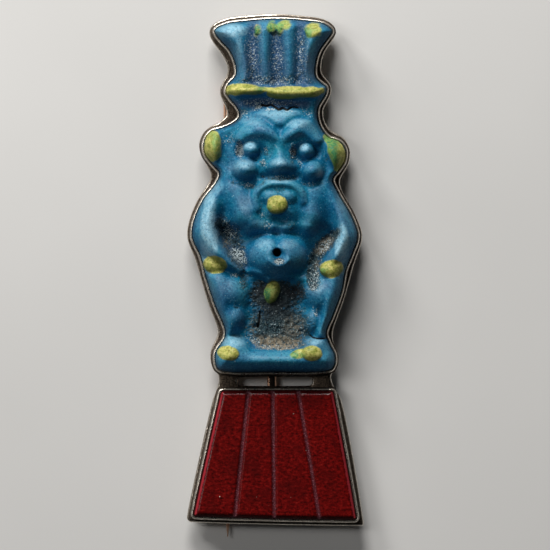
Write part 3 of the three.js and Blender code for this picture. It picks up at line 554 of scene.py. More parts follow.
def piece_of(mesh, name, material, sharp_angle=None):
    """The mesh as a piece in the scene, shaded smooth but for edges sharper than that, in degrees."""
    mesh.materials.append(material)
    mesh.shade_smooth()
    if sharp_angle is not None:
        mesh.set_sharp_from_angle(angle=math.radians(sharp_angle))
    made = bpy.data.objects.new(name, mesh)
    bpy.context.scene.collection.objects.link(made)
    return made


def finish_mesh(name, vertices, faces, material, sharp_angle=None):
    mesh = bpy.data.meshes.new(name)
    mesh.from_pydata([tuple(v) for v in vertices], [], [tuple(f) for f in faces])
    mesh.validate()
    return piece_of(mesh, name, material, sharp_angle)


def add_attribute(piece, name, values, elsewhere=0.0):
    """The values go to the first vertices, such as the sheet on top of a body."""
    given = np.full(len(piece.data.vertices), elsewhere, np.float32)
    given[:len(values)] = values
    layer = piece.data.attributes.new(name, "FLOAT", "POINT")
    layer.data.foreach_set("value", given)


def filling(points, loops):
    """Triangles between the points, on the left of the loops. The loops' points come first."""
    found = delaunay_2d_cdt([Vector(p) for p in points], [], [], 0, 1e-9, True)
    original = np.array([ids[0] for ids in found[3]])
    triangles = original[np.array(found[2])]
    a, b, c = (points[triangles[:, k]] for k in range(3))
    turning = (b[:, 0] - a[:, 0]) * (c[:, 1] - a[:, 1]) - (b[:, 1] - a[:, 1]) * (c[:, 0] - a[:, 0])
    triangles[turning < 0] = triangles[turning < 0][:, ::-1]
    after = np.full(len(points), -1)
    start = 0
    for loop in loops:
        after[start:start + len(loop)] = start + np.roll(np.arange(len(loop)), -1)
        start += len(loop)
    kept = enclosed(points[triangles].mean(1), loops)
    sides = [(triangles[:, k], triangles[:, (k + 1) % 3]) for k in range(3)]
    for here, there in sides:
        kept |= after[here] == there
    for here, there in sides:
        kept &= after[there] != here
    return triangles[kept]


def filled_sheet(loops, rings, spacing):
    """Points and triangles that fill the left of the loops: the loops, then rings that follow them
    at those distances, then an even grid. Also each point's distance to the nearest loop."""
    tree = tree_of(np.vstack(loops))
    points = [*loops]
    away = [np.zeros(len(loop)) for loop in loops]
    for distance in rings:
        for loop in loops:
            ring = moved_out(loop, -distance, tree)
            kept = distances(tree, ring) > distance * RING_SHARE - 1e-9
            skip = max(1, int(distance / spacing))
            kept &= np.arange(len(ring)) % skip == 0
            points.append(ring[kept])
            away.append(np.full(kept.sum(), distance))
    low, high = loops[0].min(0), loops[0].max(0)
    row_height = spacing * math.sqrt(3) / 2
    rows = np.arange(low[1], high[1], row_height)
    columns = np.arange(low[0], high[0], spacing)
    x, y = np.meshgrid(columns, rows)
    x = x + (np.arange(len(rows)) % 2)[:, None] * spacing / 2
    grid = np.column_stack([x.ravel(), y.ravel()])
    grid = grid[enclosed(grid, loops)]
    far = distances(tree, grid)
    clear = far > rings[-1] + spacing * GRID_GAP
    points.append(grid[clear])
    away.append(far[clear])
    points = np.vstack(points)
    return points, filling(points, loops), np.concatenate(away)


def wall(here, there, size):
    """Faces between two closed rings of vertices, given by their first ones."""
    after = [*range(1, size), 0]
    return [(here + i, here + j, there + j, there + i) for i, j in enumerate(after)]


def body_under(points, heights, triangles, loops, foot):
    """Vertices and faces of a body: that sheet on top, straight walls and a flat underside."""
    vertices = [np.column_stack([points, heights])]
    faces = [tuple(t) for t in triangles]
    start, first = 0, len(points)
    for loop in loops:
        faces += wall(first + start, start, len(loop))
        start += len(loop)
    border = np.vstack(loops)
    vertices.append(np.column_stack([border, np.full(len(border), foot)]))
    faces += [(first + a, first + c, first + b) for a, b, c in filling(border, loops)]
    return np.vstack(vertices), faces


def ring_body(sections):
    """Vertices and faces of a closed ring through those loops, which have one count of points."""
    size = len(sections[0])
    faces = []
    for level in range(len(sections)):
        faces += wall(level * size, (level + 1) % len(sections) * size, size)
    return np.vstack(sections), faces


# The relief, in parts above the figure's flat back

def ease(low, high, value):
    t = unit((value - low) / (high - low))
    return t * t * (3 - 2 * t)


def blended(a, b, blend):
    """The higher of two surfaces, rounded over that height where they meet."""
    near = np.maximum(blend - np.abs(a - b), 0) / blend
    return np.maximum(a, b) + near * near * blend / 4


def blurred(values, radius):
    """The grid smoothed by a bell curve of that radius, in cells."""
    reach = int(3 * radius) + 1
    weights = np.exp(-0.5 * (np.arange(-reach, reach + 1) / radius) ** 2)
    weights /= weights.sum()
    for axis in (0, 1):
        padding = [(reach, reach) if k == axis else (0, 0) for k in (0, 1)]
        padded = np.pad(values, padding, mode="edge")
        size = values.shape[axis]
        values = sum(
            w * np.take(padded, np.arange(k, k + size), axis=axis) for k, w in enumerate(weights)
        )
    return values


class Relief:
    """Heights on an even grid over the figure, carved form by form. A form is worked out as far as
    reach, and outside its outline it drops by the fall, both for each of its half widths."""

    step = 0.5
    reach = 1.9
    fall = 24

    def __init__(self):
        self.across = np.arange(-90, 90.1, self.step)
        self.up = np.arange(-8, 362.1, self.step)
        self.x, self.y = np.meshgrid(self.across, self.up)
        heights = np.array(GROUND, float)
        i = np.clip(np.searchsorted(heights[:, 0], self.up) - 1, 0, len(heights) - 2)
        share = ease(0, 1, (self.up - heights[i, 0]) / (heights[i + 1, 0] - heights[i, 0]))
        column = heights[i, 1] + (heights[i + 1, 1] - heights[i, 1]) * share
        self.z = np.repeat(column[:, None], len(self.across), axis=1)

    def window(self, points, around):
        """The part of the grid that holds the points, with that much around them."""
        points = np.asarray(points, float)
        low, high = points[:, :2].min(0) - around, points[:, :2].max(0) + around
        columns = slice(*np.searchsorted(self.across, (low[0], high[0])))
        rows = slice(*np.searchsorted(self.up, (low[1], high[1])))
        return rows, columns

    def line_distance(self, line, area):
        """Distance to the line of points and, at the nearest one, the values that it carries."""
        x, y = self.x[area], self.y[area]
        best = np.full(x.shape, np.inf)
        values = np.zeros((line.shape[1], *x.shape))
        for a, b in zip(line, line[1:]):
            d = b - a
            t = unit(((x - a[0]) * d[0] + (y - a[1]) * d[1]) / (d[0] ** 2 + d[1] ** 2 + 1e-12))
            away = np.hypot(x - a[0] - t * d[0], y - a[1] - t * d[1])
            near = away < best
            best = np.where(near, away, best)
            values = np.where(near, a[:, None, None] + d[:, None, None] * t, values)
        return best, values

    def raised(self, area, t, foot, top, power, blend):
        """A rounded form is blended in, where t is 0 in its middle and 1 at its outline."""
        inner = foot + (top - foot) * unit(1 - t * t) ** power
        form = np.where(t < 1, inner, foot - (t - 1) * self.fall)
        self.z[area] = blended(self.z[area], form, blend)

    def lowered(self, area, t, depth):
        t = unit(t)
        self.z[area] -= depth * (1 - t * t) ** 2

    def oval(self, at, size, turn, around):
        """The part of the grid near an oval, and t there: 0 in its middle and 1 at its outline."""
        area = self.window([at], max(size) * around)
        return area, self.oval_distance(at, size, turn, area)

    def oval_distance(self, at, size, turn, area):
        angle = math.radians(turn)
        dx, dy = self.x[area] - at[0], self.y[area] - at[1]
        along = dx * math.cos(angle) + dy * math.sin(angle)
        side = -dx * math.sin(angle) + dy * math.cos(angle)
        return np.hypot(along / size[0], side / size[1])

    def hump(self, at, size, foot, top, blend=4, turn=0, power=0.8):
        """An oval form of those half sizes."""
        area, t = self.oval(at, size, turn, self.reach)
        self.raised(area, t, foot, top, power, blend)

    def limb(self, line, foot, blend=4, power=0.8):
        """The line's points hold across, up, radius and top."""
        line = smooth_line(line)
        area = self.window(line, line[:, 2].max() * self.reach)
        away, values = self.line_distance(line, area)
        self.raised(area, away / np.maximum(values[2], 1e-6), foot, values[3], power, blend)

    def dish(self, at, size, depth, turn=0):
        self.lowered(*self.oval(at, size, turn, 1), depth)

    def cut(self, line, width, depth):
        """A groove of that half width, or a ridge where the depth is below nought."""
        line = smooth_line(line)
        area = self.window(line, width)
        self.lowered(area, self.line_distance(line, area)[0] / width, depth)

    def at(self, points, values=None):
        """Heights, or other values of the grid, read between its cells."""
        values = self.z if values is None else values
        column = (points[:, 0] - self.across[0]) / self.step
        row = (points[:, 1] - self.up[0]) / self.step
        i = np.clip(column.astype(int), 0, len(self.across) - 2)
        j = np.clip(row.astype(int), 0, len(self.up) - 2)
        s, t = unit(column - i), unit(row - j)
        low = values[j, i] * (1 - s) + values[j, i + 1] * s
        high = values[j + 1, i] * (1 - s) + values[j + 1, i + 1] * s
        return low * (1 - t) + high * t


# The ground that the forms stand on: up, height
GROUND = [
    (0, 26), (22, 26), (28, 21), (60, 21), (100, 21), (140, 22), (150, 27), (180, 31),
    (230, 29), (256, 30), (266, 31), (276, 32), (286, 32), (302, 34), (353, 35),
]


def carve_crown(r):
    r.limb([(-44, 346, 15, 39), (-38.5, 326, 11.5, 41.5), (-34, 306, 10, 41.5), (-32, 288, 9, 38)],
           32, 6, 1)
    r.limb([(-12, 347, 9, 40.5), (-11, 318, 8, 41.5), (-9, 288, 7, 37)], 32, 6, 1)
    r.limb([(12, 347, 9, 40.5), (14, 318, 8, 41.5), (14, 288, 7, 37)], 32, 6, 1)
    r.limb([(44, 346, 12, 39.5), (35, 322, 9.5, 41.5), (33, 288, 8.5, 38)], 32, 6, 1)
    r.cut([(-21, 345), (-22.5, 318), (-20, 292)], 8, 2)
    r.cut([(0, 343), (1, 315), (3, 294)], 8, 2)
    r.cut([(25, 343), (26, 318), (26, 294)], 7.5, 2)


def carve_headband(r):
    r.limb([(-48, 282, 7.5, 44), (-30, 281.5, 7.2, 46), (-12, 281.5, 5.5, 44.5),
            (0, 279.5, 6.8, 45), (25, 279.5, 7.2, 45.5), (49, 281, 7.2, 43)], 28, 3, 0.55)
    r.cut([(-12, 287), (-6, 276)], 5, 1.6)


def carve_head(r):
    r.hump((4, 220), (50, 44), 22, 45, 8, power=0.6)
    r.hump((5, 240), (44, 26.5), 26, 48.5, 8, power=0.6)
    r.hump((-61.5, 225.5), (9.5, 17), 24, 41, 3, power=0.5)
    r.hump((60, 219), (10, 19), 24, 40, 3, turn=20, power=0.5)


def carve_arms(r):
    r.limb([(-50, 190, 18, 32), (-60, 178, 19, 37.5), (-67, 160, 17, 41), (-68.5, 143, 14.5, 43.5),
            (-64, 129, 12.5, 45), (-56, 118, 11, 44.5), (-46, 109, 8.5, 40), (-36, 102, 6, 33)], 20, 8)
    r.limb([(50, 188, 18, 32), (61, 176, 19, 37.5), (69, 159, 17, 41), (72, 141, 14.5, 43.5),
            (68, 126, 12.5, 45), (61, 115, 11, 44), (53, 105, 8, 37)], 20, 8)


def carve_chest(r):
    r.hump((3, 172), (40, 36), 24, 44, 8)
    r.limb([(-37, 180, 17, 38), (-34, 168, 20, 41.5), (-29, 158, 19, 43.5), (-23, 149, 13, 41)],
           24, 13, 1.0)
    r.limb([(39, 180, 16, 38), (38, 168, 19, 41.5), (37, 157, 18, 43), (34, 148, 12, 40)], 24, 13, 1.0)
    r.hump((0, 146), (22, 9), 26, 36.5, 10)
    r.dish((-46, 160), (12, 20), 2, turn=-12)
    r.dish((47, 160), (11, 20), 2.5, turn=12)


def carve_face(r):
    r.cut([(-33, 237), (-30, 246), (-23, 252), (-14, 252.5), (-6, 248.5), (0, 243.5)], 6, 3)
    r.cut([(9, 243), (15, 249), (22, 253.5), (31, 254), (38, 249), (41, 241)], 6, 3)
    r.dish((4.5, 241), (7, 9), 4)
    r.limb([(-32, 234, 8, 43), (-25, 239.5, 10.5, 49), (-16, 241.5, 11.5, 52.5), (-7, 238.5, 10.5, 52.5),
            (0, 233.5, 9, 50), (4.5, 229, 8, 46)], 34, 3, 0.7)
    r.limb([(4.5, 229, 8, 46), (10, 233.5, 9, 50), (16, 238.5, 10, 52.5), (24, 242.5, 10.5, 52),
            (32, 241, 10, 48.5), (39, 233, 8, 43)], 34, 3, 0.7)
    r.dish((-25, 219), (19, 14), 15)
    r.dish((31, 218), (18, 14), 15)
    r.hump((-23.5, 222.3), (11, 10.6), 28, 48.5, 3, power=0.75)
    r.hump((31, 220.8), (9.8, 10.4), 28, 48, 3, power=0.75)
    r.limb([(4.5, 229, 7, 44), (4.5, 222, 8, 48), (5, 214, 12, 52.5), (5, 209.5, 15, 55.5)], 33, 6, 1.0)
    r.hump((5.5, 205.5), (17, 9.5), 34, 54, 8, power=0.8)
    r.hump((-29, 203), (15, 13.4), 28, 51, 4, power=0.75)
    r.hump((37, 201.3), (13, 13), 28, 49.5, 4, power=0.75)
    r.cut([(-12, 194.5), (5, 193.5), (20, 194.5)], 5.5, 3)
    r.cut([(-42, 193), (-30, 188), (-20, 187)], 4.5, 2)
    r.cut([(29, 187), (37, 186), (46, 190)], 4.5, 2)


def carve_mouth(r):
    r.limb([(-18, 164, 4.5, 42), (-19, 172, 5.2, 44), (-17, 180, 5.8, 45.8), (-11, 185.5, 6, 47.2),
            (-3, 188, 6.2, 48.3), (5, 188.3, 6.2, 48.5), (13, 187.5, 6.2, 48.3), (20.5, 184.5, 6, 47.2),
            (26, 179, 5.5, 46), (28, 171, 5, 43.5)], 37, 8, 0.9)
    r.hump((4.5, 178), (19, 9), 37, 45, 6, power=0.6)
    r.hump((-4, 175.5), (12.5, 9), 37, 47.6, 5, power=0.7)
    r.hump((13, 175.5), (11, 9), 37, 47.2, 5, power=0.7)
    r.dish((6, 152), (15, 10), 6)


def carve_belly(r):
    r.hump((2, 116), (33.5, 26), 18, 53, 11, power=0.85)
    r.cut([(2, 140), (2.5, 127)], 6.5, 4.5)
    r.dish((4, 116.5), (11.5, 11), 8)
    r.cut([(-6.5, 112), (-2, 107.5), (4, 105.8), (10, 107.5), (13.5, 112)], 3, -2)
    r.cut([(-25, 101), (-16, 98), (-7, 92)], 4.5, -5.5)
    r.cut([(-5, 92), (4, 93.5), (18, 94), (29, 93.5)], 4, -3.5)
    r.dish((-47, 136), (19, 14), 4.5, turn=-55)
    r.dish((40, 118), (12, 20), 4)
    r.cut([(49, 134), (57, 138)], 4, 3)


def carve_legs(r):
    r.limb([(-58, 92, 13, 36), (-56, 70, 12.5, 35.5), (-50, 50, 10.5, 34.5), (-47, 42, 8, 33)], 20, 8)
    r.limb([(58, 92, 13, 38), (57, 70, 11.5, 38), (52, 50, 10.5, 37), (47, 38, 8, 35)], 20, 8)
    r.hump((-47, 79), (23, 24), 20, 38.5, 12, power=0.8)
    r.hump((45, 78), (18, 24), 20, 39, 12, turn=20, power=0.8)
    r.hump((-41, 55), (13, 16), 20, 36, 10)
    r.hump((38, 51), (9.5, 15), 20, 34, 10)


def carve_base(r):
    r.limb([(-51, 12.5, 14, 41), (0, 12, 12, 40.5), (51, 12.5, 14, 41)], 20, 5, 0.75)
    r.hump((-40, 21), (24, 14), 20, 41, 6, turn=-28, power=0.7)
    r.hump((41, 23), (17, 14), 22, 42, 6, power=0.7)
    r.cut([(-58, 40), (-50, 39), (-42, 39)], 5, 0.8)
    r.cut([(34, 35), (41, 33.5), (50, 34)], 2.4, 3)


# Blobs of yellow glaze: across, up, half sizes, height above what they sit on, turn, how green
BLOBS = [
    (-17.5, 341, 2.8, 4.4, 0.8, -20, 0.7), (-3, 344.5, 4.6, 5.6, 1.2, 10, 0.65),
    (5, 343, 3.8, 5.6, 1.2, 0, 0.6), (9.5, 347, 5.8, 4.8, 1.4, 10, 0.45),
    (38, 341.5, 8, 7.8, 2.2, 0, 0.4), (2.5, 167, 10.2, 9.6, 7.0, 0, 0.1),
    (-60.3, 107.3, 11.8, 8.8, 8.0, -8, 0.05), (56.5, 103, 11.6, 8.8, 8.0, 6, 0.2),
    (-3, 80.5, 7.6, 11.4, 8.5, -14, 0.4), (-47, 19, 11.2, 7.2, 6.5, -8, 0.1),
    (25, 18.5, 9, 4.6, 4.0, 12, 0.45), (37, 18.8, 10.4, 7.6, 6.5, -6, 0.1),
]

# Where the glaze is yellow along the headband and ears: points of across, up and half width, then
# how green
YELLOW_LINES = [
    ([(-47, 281.5, 4.5), (-40, 282, 6), (-28, 282.3, 5.6), (-16, 281, 4)], 0.15),
    ([(-16, 281, 4), (-9, 282, 2.4), (-3, 281.5, 2.6)], 0.7),
    ([(-4, 279, 4.4), (4, 278.6, 6.2), (25, 279.5, 5.6), (40, 279.6, 5), (47, 281, 3)], 0.1),
    ([(-62, 234, 7), (-61.5, 226, 7.5), (-61.5, 218, 7)], 0.55),
    ([(-68, 230, 2.5), (-68, 220, 3), (-63, 213, 3)], 0.1),
    ([(50, 235, 2.5), (57, 229, 6), (61, 220, 8), (63, 210, 6), (62, 204, 3.5)], 0.85),
    ([(66, 226, 2), (68.5, 216, 2.5), (66, 206, 3)], 0.15),
]

# The fields of colour are made of spots (across, up, half sizes, strength and, where it has one,
# turn) and of lines (points of across, up and half width, then strength).

# Where the glaze is thin and the gritty body shows
GRIT_SPOTS = [
    (-33, 260, 8, 8, 0.7), (32, 259, 9, 7, 0.55), (-36, 222, 6.5, 12, 0.95),
    (-46, 232, 10, 12, 0.4), (-9.5, 219, 5, 8, 0.8), (18, 218, 5.5, 14, 0.95),
    (0, 76, 36, 25, 1.5), (0, 58, 33, 18, 1.3), (-29, 99, 9, 7, 0.8), (-12, 209, 5, 6, 0.75, 20),
    (25, 207, 4, 7, 0.6, 20), (-30, 211, 10, 3, 0.6), (52, 213, 4, 6, 0.5), (-13, 163, 4, 10, 0.5),
    (-8, 146, 8, 8, 0.7), (16, 146, 6, 8, 0.65), (4, 44, 42, 36, 1.5), (-31, 92, 8, 14, 0.9),
    (-14, 82, 17, 15, 1.2), (20, 80, 18, 15, 1.2), (42, 86, 12, 8, 0.6, 20), (-39, 96, 9, 5, 0.7),
    (4, 111, 8, 5, 1.15), (-38, 65, 6, 4, 0.7), (42, 60, 4, 8, 0.75, -20), (38, 47, 7, 10, 0.5),
    (-17, 265, 8, 3.2, 1.0, 20), (0, 206, 7, 8, 0.35), (-42, 62, 10, 20, 0.25),
    (3, 181, 14, 3, 0.6), (-40, 208, 12, 8, 0.35),
]
GRIT_LINES = [
    ([(-20, 340, 9), (-22, 318, 12), (-22, 296, 14)], 0.55),
    ([(2, 334, 9), (2, 318, 11), (3, 296, 14)], 0.52),
    ([(26, 338, 8), (27, 318, 10), (27, 296, 12)], 0.55),
    ([(-36, 291, 8), (0, 291, 9), (38, 291, 8)], 0.6),
    ([(-30, 268, 5), (-6, 269, 6), (20, 267, 5)], 0.55),
    ([(-12, 194, 4), (5, 193, 4), (20, 194, 4)], 0.75),
    ([(-42, 190, 3.5), (-30, 186, 4), (-18, 185, 4), (-10, 190, 3)], 0.65),
    ([(28, 188, 3), (38, 186, 3.5), (46, 188, 3)], 0.55),
    ([(-55, 150, 9), (-46, 137, 15), (-40, 122, 14), (-34, 108, 9)], 1.0),
    ([(62, 140, 6), (52, 130, 10), (41, 116, 10), (38, 100, 10), (38, 88, 9)], 1.25),
    ([(-40, 262, 4), (-36, 256, 5), (-42, 247, 4)], 0.7),
]

# Cracks: below the headband, beside the left leg and across the right ankle
CRACKS = [
    ([(-13, 267, 1.4), (-8, 265.8, 1.2), (-4, 267, 1.2), (0, 264.6, 1.3), (4, 262.4, 1.9),
      (8, 263.6, 1.6), (12, 261.8, 1.3), (17, 264.6, 1.0), (23, 264.2, 0.8)], 1),
    ([(-15, 61, 0.6), (-15.5, 53, 1.2), (-17, 45, 1.3)], 1),
    ([(35, 37, 0.7), (38, 34.5, 0.8), (43, 33.5, 0.9), (49, 33.5, 0.8), (52, 35, 0.6)], 1),
]

# Painted highlight: paler glaze on crests and spots that face the light
HIGHLIGHT_SPOTS = [
    (-43, 341, 19, 8, 1.1), (-30, 207, 12, 7, 0.5), (-20, 249, 13, 4, 0.35), (22, 247, 12, 4, 0.6),
    (-25, 226, 7, 5, 1.0), (29, 224.5, 6, 5, 0.9), (3, 209, 9, 6, 0.5), (-66, 134, 10, 38, 2.1),
    (67, 124, 8, 28, 1.9), (-11, 128, 10, 7, 0.4), (15, 128, 9, 6, 0.35), (-65, 168, 7, 18, 0.75),
    (66, 165, 6, 20, 0.2), (-52, 152, 4, 10, 0.3), (4, 259, 24, 5, 0.5), (-28, 168, 8, 10, 0.25),
    (-46, 86, 12, 9, 0.1), (42, 84, 12, 9, 0.3), (-16, 148, 8, 6, 0.4), (4.5, 209, 8, 5, 0.7),
    (-24, 251, 13, 4, 0.35), (25, 250, 12, 3.5, 0.6), (-36, 326, 4, 22, 0.35),
    (-41, 30, 13, 8, 0.7), (40, 31, 10, 5, 0.6), (-60, 185, 10, 10, 0.4), (32, 150, 8, 7, 0.25),
    (4, 191, 18, 2.5, 0.6), (-40, 203, 8, 10, 0.3), (2, 141, 12, 3, 0.4),
]

# Thicker, darker glaze, and painted shade on sides and hollows that lie in shadow
POOL_AND_SHADE_SPOTS = [
    (-47, 158, 10, 14, 0.35), (47, 158, 10, 14, 0.4), (-26, 118, 9, 22, 0.5),
    (30, 116, 8, 22, 0.5), (-36, 50, 8, 12, 0.7), (2, 104, 24, 7, 0.5), (-40, 190, 8, 8, 0.5),
    (-56, 215, 6, 26, 0.4), (0, 270, 50, 11, 1.2), (-37, 54, 9, 12, 0.5),
    (-46, 316, 11, 30, 1.15, 18), (47, 316, 10, 30, 1.15, -15), (10, 330, 5, 24, 0.25),
    (-50, 205, 8, 10, 0.5), (-24, 212, 12, 5, 0.6), (31, 211, 11, 5, 0.6), (-29, 192, 12, 5, 0.6),
    (37, 190, 11, 5, 0.6), (5, 200, 17, 4, 0.6), (-50, 80, 15, 24, 1.0), (35, 168, 13, 14, 0.4),
    (-30, 204, 10, 6, 0.25),
]

# Warm earth left in the lowest grit
EARTH_SPOTS = [
    (0, 27, 38, 12, 1.35), (-28, 40, 12, 10, 0.7, 40), (49, 126, 13, 7, 1.2, 40),
    (-42, 262, 6, 10, 1.0), (18, 45, 14, 14, 0.5), (3, 110, 8, 4, 0.5), (-50, 128, 6, 6, 0.6),
    (20, 222, 5, 7, 0.6), (43, 105, 5, 10, 0.4),
]

# Whitish powder
FROST_SPOTS = [
    (-35, 222, 6.5, 12, 1.35), (18, 222, 5, 11, 0.9), (-11, 208, 4, 7, 1.0, 25),
    (24, 210, 3.5, 8, 0.8, 25), (-37, 117, 14, 8, 1.15, -40), (-45, 140, 9, 8, 0.75, -40),
    (49, 125, 12, 6, 0.95, 40), (41, 92, 9, 16, 0.5), (-5, 262.5, 10, 2.5, 1.3),
    (14, 260.5, 9, 2.2, 1.1), (-8, 269, 30, 6, 0.7), (0, 24, 32, 4, 0.4), (38, 84, 12, 6, 0.8, 25),
    (-30, 258, 9, 5, 0.9, 30), (33, 258, 9, 5, 0.7, -30), (4, 110, 8, 4, 1.2),
    (0, 291, 42, 8, 0.7), (-23, 318, 10, 30, 0.65), (2, 316, 10, 28, 0.65), (25, 318, 9, 28, 0.65),
    (-12, 157, 4, 6, 0.8, -30), (-6, 147, 7, 3.5, 0.9, 20), (-41, 97, 6, 3, 1.0),
    (-47, 232, 12, 10, 0.5), (-9, 222, 3, 4, 0.8), (-17, 264, 9, 3, 1.3, 25),
    (7, 194.5, 14, 2.5, 0.8), (-26, 187, 9, 3, 0.9), (36, 188, 9, 2.5, 0.7),
    (40, 60, 3, 9, 0.9, 20), (-22, 33, 9, 5, 0.8, -30),
]

# Where the bare grit is darker
DARKER_GRIT_SPOTS = [
    (50, 136, 10, 4, 0.6, 35), (37, 130, 5, 8, 0.8), (-17, 82, 15, 17, 1.0), (19, 80, 20, 14, 1.1),
    (0, 66, 34, 19, 0.95), (19, 221, 6, 10, 0.8), (-10, 228, 6, 4, 0.7),
]

# Violet glaze in the crown's grooves, below the headband, on the chest and inside the left arm
VIOLET_LINES = [
    ([(-21, 345, 9), (-22, 318, 12), (-20, 292, 18)], 0.75),
    ([(1, 337, 8), (2, 318, 11), (3, 292, 17)], 0.75),
    ([(26, 345, 8), (27, 318, 10), (27, 292, 14)], 0.7),
    ([(-38, 268, 6), (-4, 270, 7), (30, 268, 6)], 0.6),
    ([(-31, 172, 8), (-29, 165, 9), (-27, 159, 7)], 0.3),
    ([(-57, 150, 10), (-48, 137, 16), (-40, 122, 13), (-34, 108, 9)], 0.6),
]

# Ridges in the grit that kept their glaze
CLEAN_LINES = [
    ([(-27, 102, 3.5), (-16, 98, 4), (-7, 92, 3.5)], 1.1),
    ([(-5, 92, 2.5), (4, 93.5, 3), (18, 94, 3), (29, 93.5, 2.5)], 0.9),
    ([(-38, 15, 9), (0, 14, 9), (38, 15, 9)], 1.5),
]

# The hole in the belly and the cracks, then radii of blurs and widths of edges, in parts
HOLE = (2.2, 119.3)
HOLE_HALF = 5.2
HOLE_DEPTH = 24
CRACK_DEPTH = 3.2
SMOOTHING = 1.2
HOLLOW_RADIUS = 5
GREEN_RADIUS = 2.2
BASE_RADIUS = 4
STEEP_RADIUS = 1
YELLOW_EDGE = 6
LINE_REACH = 8

# A hollow of this depth is half darkened by pooled glaze and painted shade, and a crest gets painted
# highlight by its height over the second
POOL_AND_SHADE_DEPTH = 4.5
HIGHLIGHT_HEIGHT = 7

# How a blob blends into the relief, how far off it is worked out, and how softly high and low ones
# end in colour
BLOB_BLEND = 5
BLOB_REACH = 1.6
HIGH_BLOB = 3
HIGH_BLOB_EDGE = 5
LOW_BLOB_EDGE = 11


def line_field(r, lines, edge=None):
    """The most that any line covers each grid cell: its strength on the line, and 0 at its half
    width. With an edge, 0.5 at the half width, and changing over that many parts."""
    field = np.zeros(r.z.shape)
    for line, strength in lines:
        line = smooth_line(line)
        area = r.window(line, line[:, 2].max() + LINE_REACH)
        away, values = r.line_distance(line, area)
        if edge is None:
            cover = strength * unit(1 - (away / values[2]) ** 2)
        else:
            cover = unit(0.5 + (values[2] - away) / edge)
        field[area] = np.maximum(field[area], cover)
    return field


def spot_field(r, spots):
    """The most that any spot covers each grid cell: its strength in the middle, and 0 at its edge."""
    field = np.zeros(r.z.shape)
    for across, up, width, height, strength, *turn in spots:
        area, t = r.oval((across, up), (width, height), sum(turn), 1)
        field[area] = np.maximum(field[area], strength * unit(1 - t * t))
    return field


def speckle(r, seed, radius):
    """A random field on the grid, of unit spread, with patches of that radius in parts."""
    random = np.random.default_rng(seed).standard_normal(r.z.shape)
    field = blurred(random, radius / r.step)
    return field / field.std()


def glaze_fields(r):
    """The fields that colour all but the yellow glaze, and the cracks."""
    hollow = r.z - blurred(r.z, HOLLOW_RADIUS / r.step)
    falling = unit(0.5 + np.gradient(r.z, r.step, axis=0))
    sand = np.maximum(spot_field(r, GRIT_SPOTS), line_field(r, GRIT_LINES))
    cracks = line_field(r, CRACKS)
    hole = spot_field(r, [(*HOLE, 5.4, 5.4, 1.3)])
    # Hollows darken, partly from pooled glaze and partly from painted shade
    below = unit(-hollow / POOL_AND_SHADE_DEPTH) * 0.5
    # Painted highlight on listed spots and crests, kept to slopes that face the light
    highlight = spot_field(r, HIGHLIGHT_SPOTS) * 1.1 + np.clip(hollow / HIGHLIGHT_HEIGHT, 0, 0.15)
    fields = {
        "sand": np.maximum(sand - line_field(r, CLEAN_LINES), 0),
        "violet": line_field(r, VIOLET_LINES),
        "frost": spot_field(r, FROST_SPOTS),
        "earth": spot_field(r, EARTH_SPOTS),
        "darker_grit": spot_field(r, DARKER_GRIT_SPOTS),
        # Dark cracks, and painted shade down the belly's hole
        "dark_cracks_and_hole_shade": np.maximum(cracks * 1.4, hole),
        "pool_and_shade": unit(np.maximum(below, spot_field(r, POOL_AND_SHADE_SPOTS))),
        "painted_highlight": unit(highlight * unit(1.25 - falling)),
    }
    return fields, cracks


def yellow_fields(r):
    """Where the glaze is yellow along lines, and how green it is there."""
    yellow = line_field(r, YELLOW_LINES, YELLOW_EDGE)
    green = np.zeros(r.z.shape)
    for line, strength in YELLOW_LINES:
        cover = line_field(r, [(line, strength)], YELLOW_EDGE)
        green = np.where(cover > 0.3, strength, green)
    return yellow, blurred(green, GREEN_RADIUS / r.step)


def roughen(r, sand):
    """Grain where the gritty body shows, and a faint waviness all over."""
    rough = speckle(r, 3, 0.9) * 0.45 + speckle(r, 4, 2.4) * 0.5
    gritty = unit(sand * 1.4 - 0.3)
    r.z += gritty * (rough - 0.6)
    r.z += speckle(r, 5, 3.5) * 0.14 + speckle(r, 6, 1.2) * 0.05


def add_blobs(r, yellow, green):
    """The blobs of yellow glaze, greener at their lower left."""
    base = blurred(r.z, BASE_RADIUS / r.step)
    uneven = speckle(r, 7, 5)
    for across, up, width, height, rise, turn, greenness in BLOBS:
        area, t = r.oval((across, up), (width, height), turn, BLOB_REACH)
        t = t * (1 + 0.03 * uneven[area])
        level = r.at(np.array([(across, up)]), base)[0] - 0.15 * rise
        dome = level + unit(1 - t * t) ** 0.55 * rise
        r.z[area] = np.where(t < 1, blended(dome, r.z[area], BLOB_BLEND), r.z[area])
        softness = HIGH_BLOB_EDGE if rise > HIGH_BLOB else LOW_BLOB_EDGE
        cover = unit(0.5 + (1 - t) * min(width, height) / softness)
        yellow[area] = np.maximum(yellow[area], cover)
        lower_left = (across - width * 0.9, up - height * 0.5)
        away = r.oval_distance(lower_left, (width, height * 1.2), turn, area)
        tint = greenness + unit(0.9 - away) * (0.5 + greenness)
        green[area] = np.where(t < 1.3, np.maximum(tint, 0), green[area])


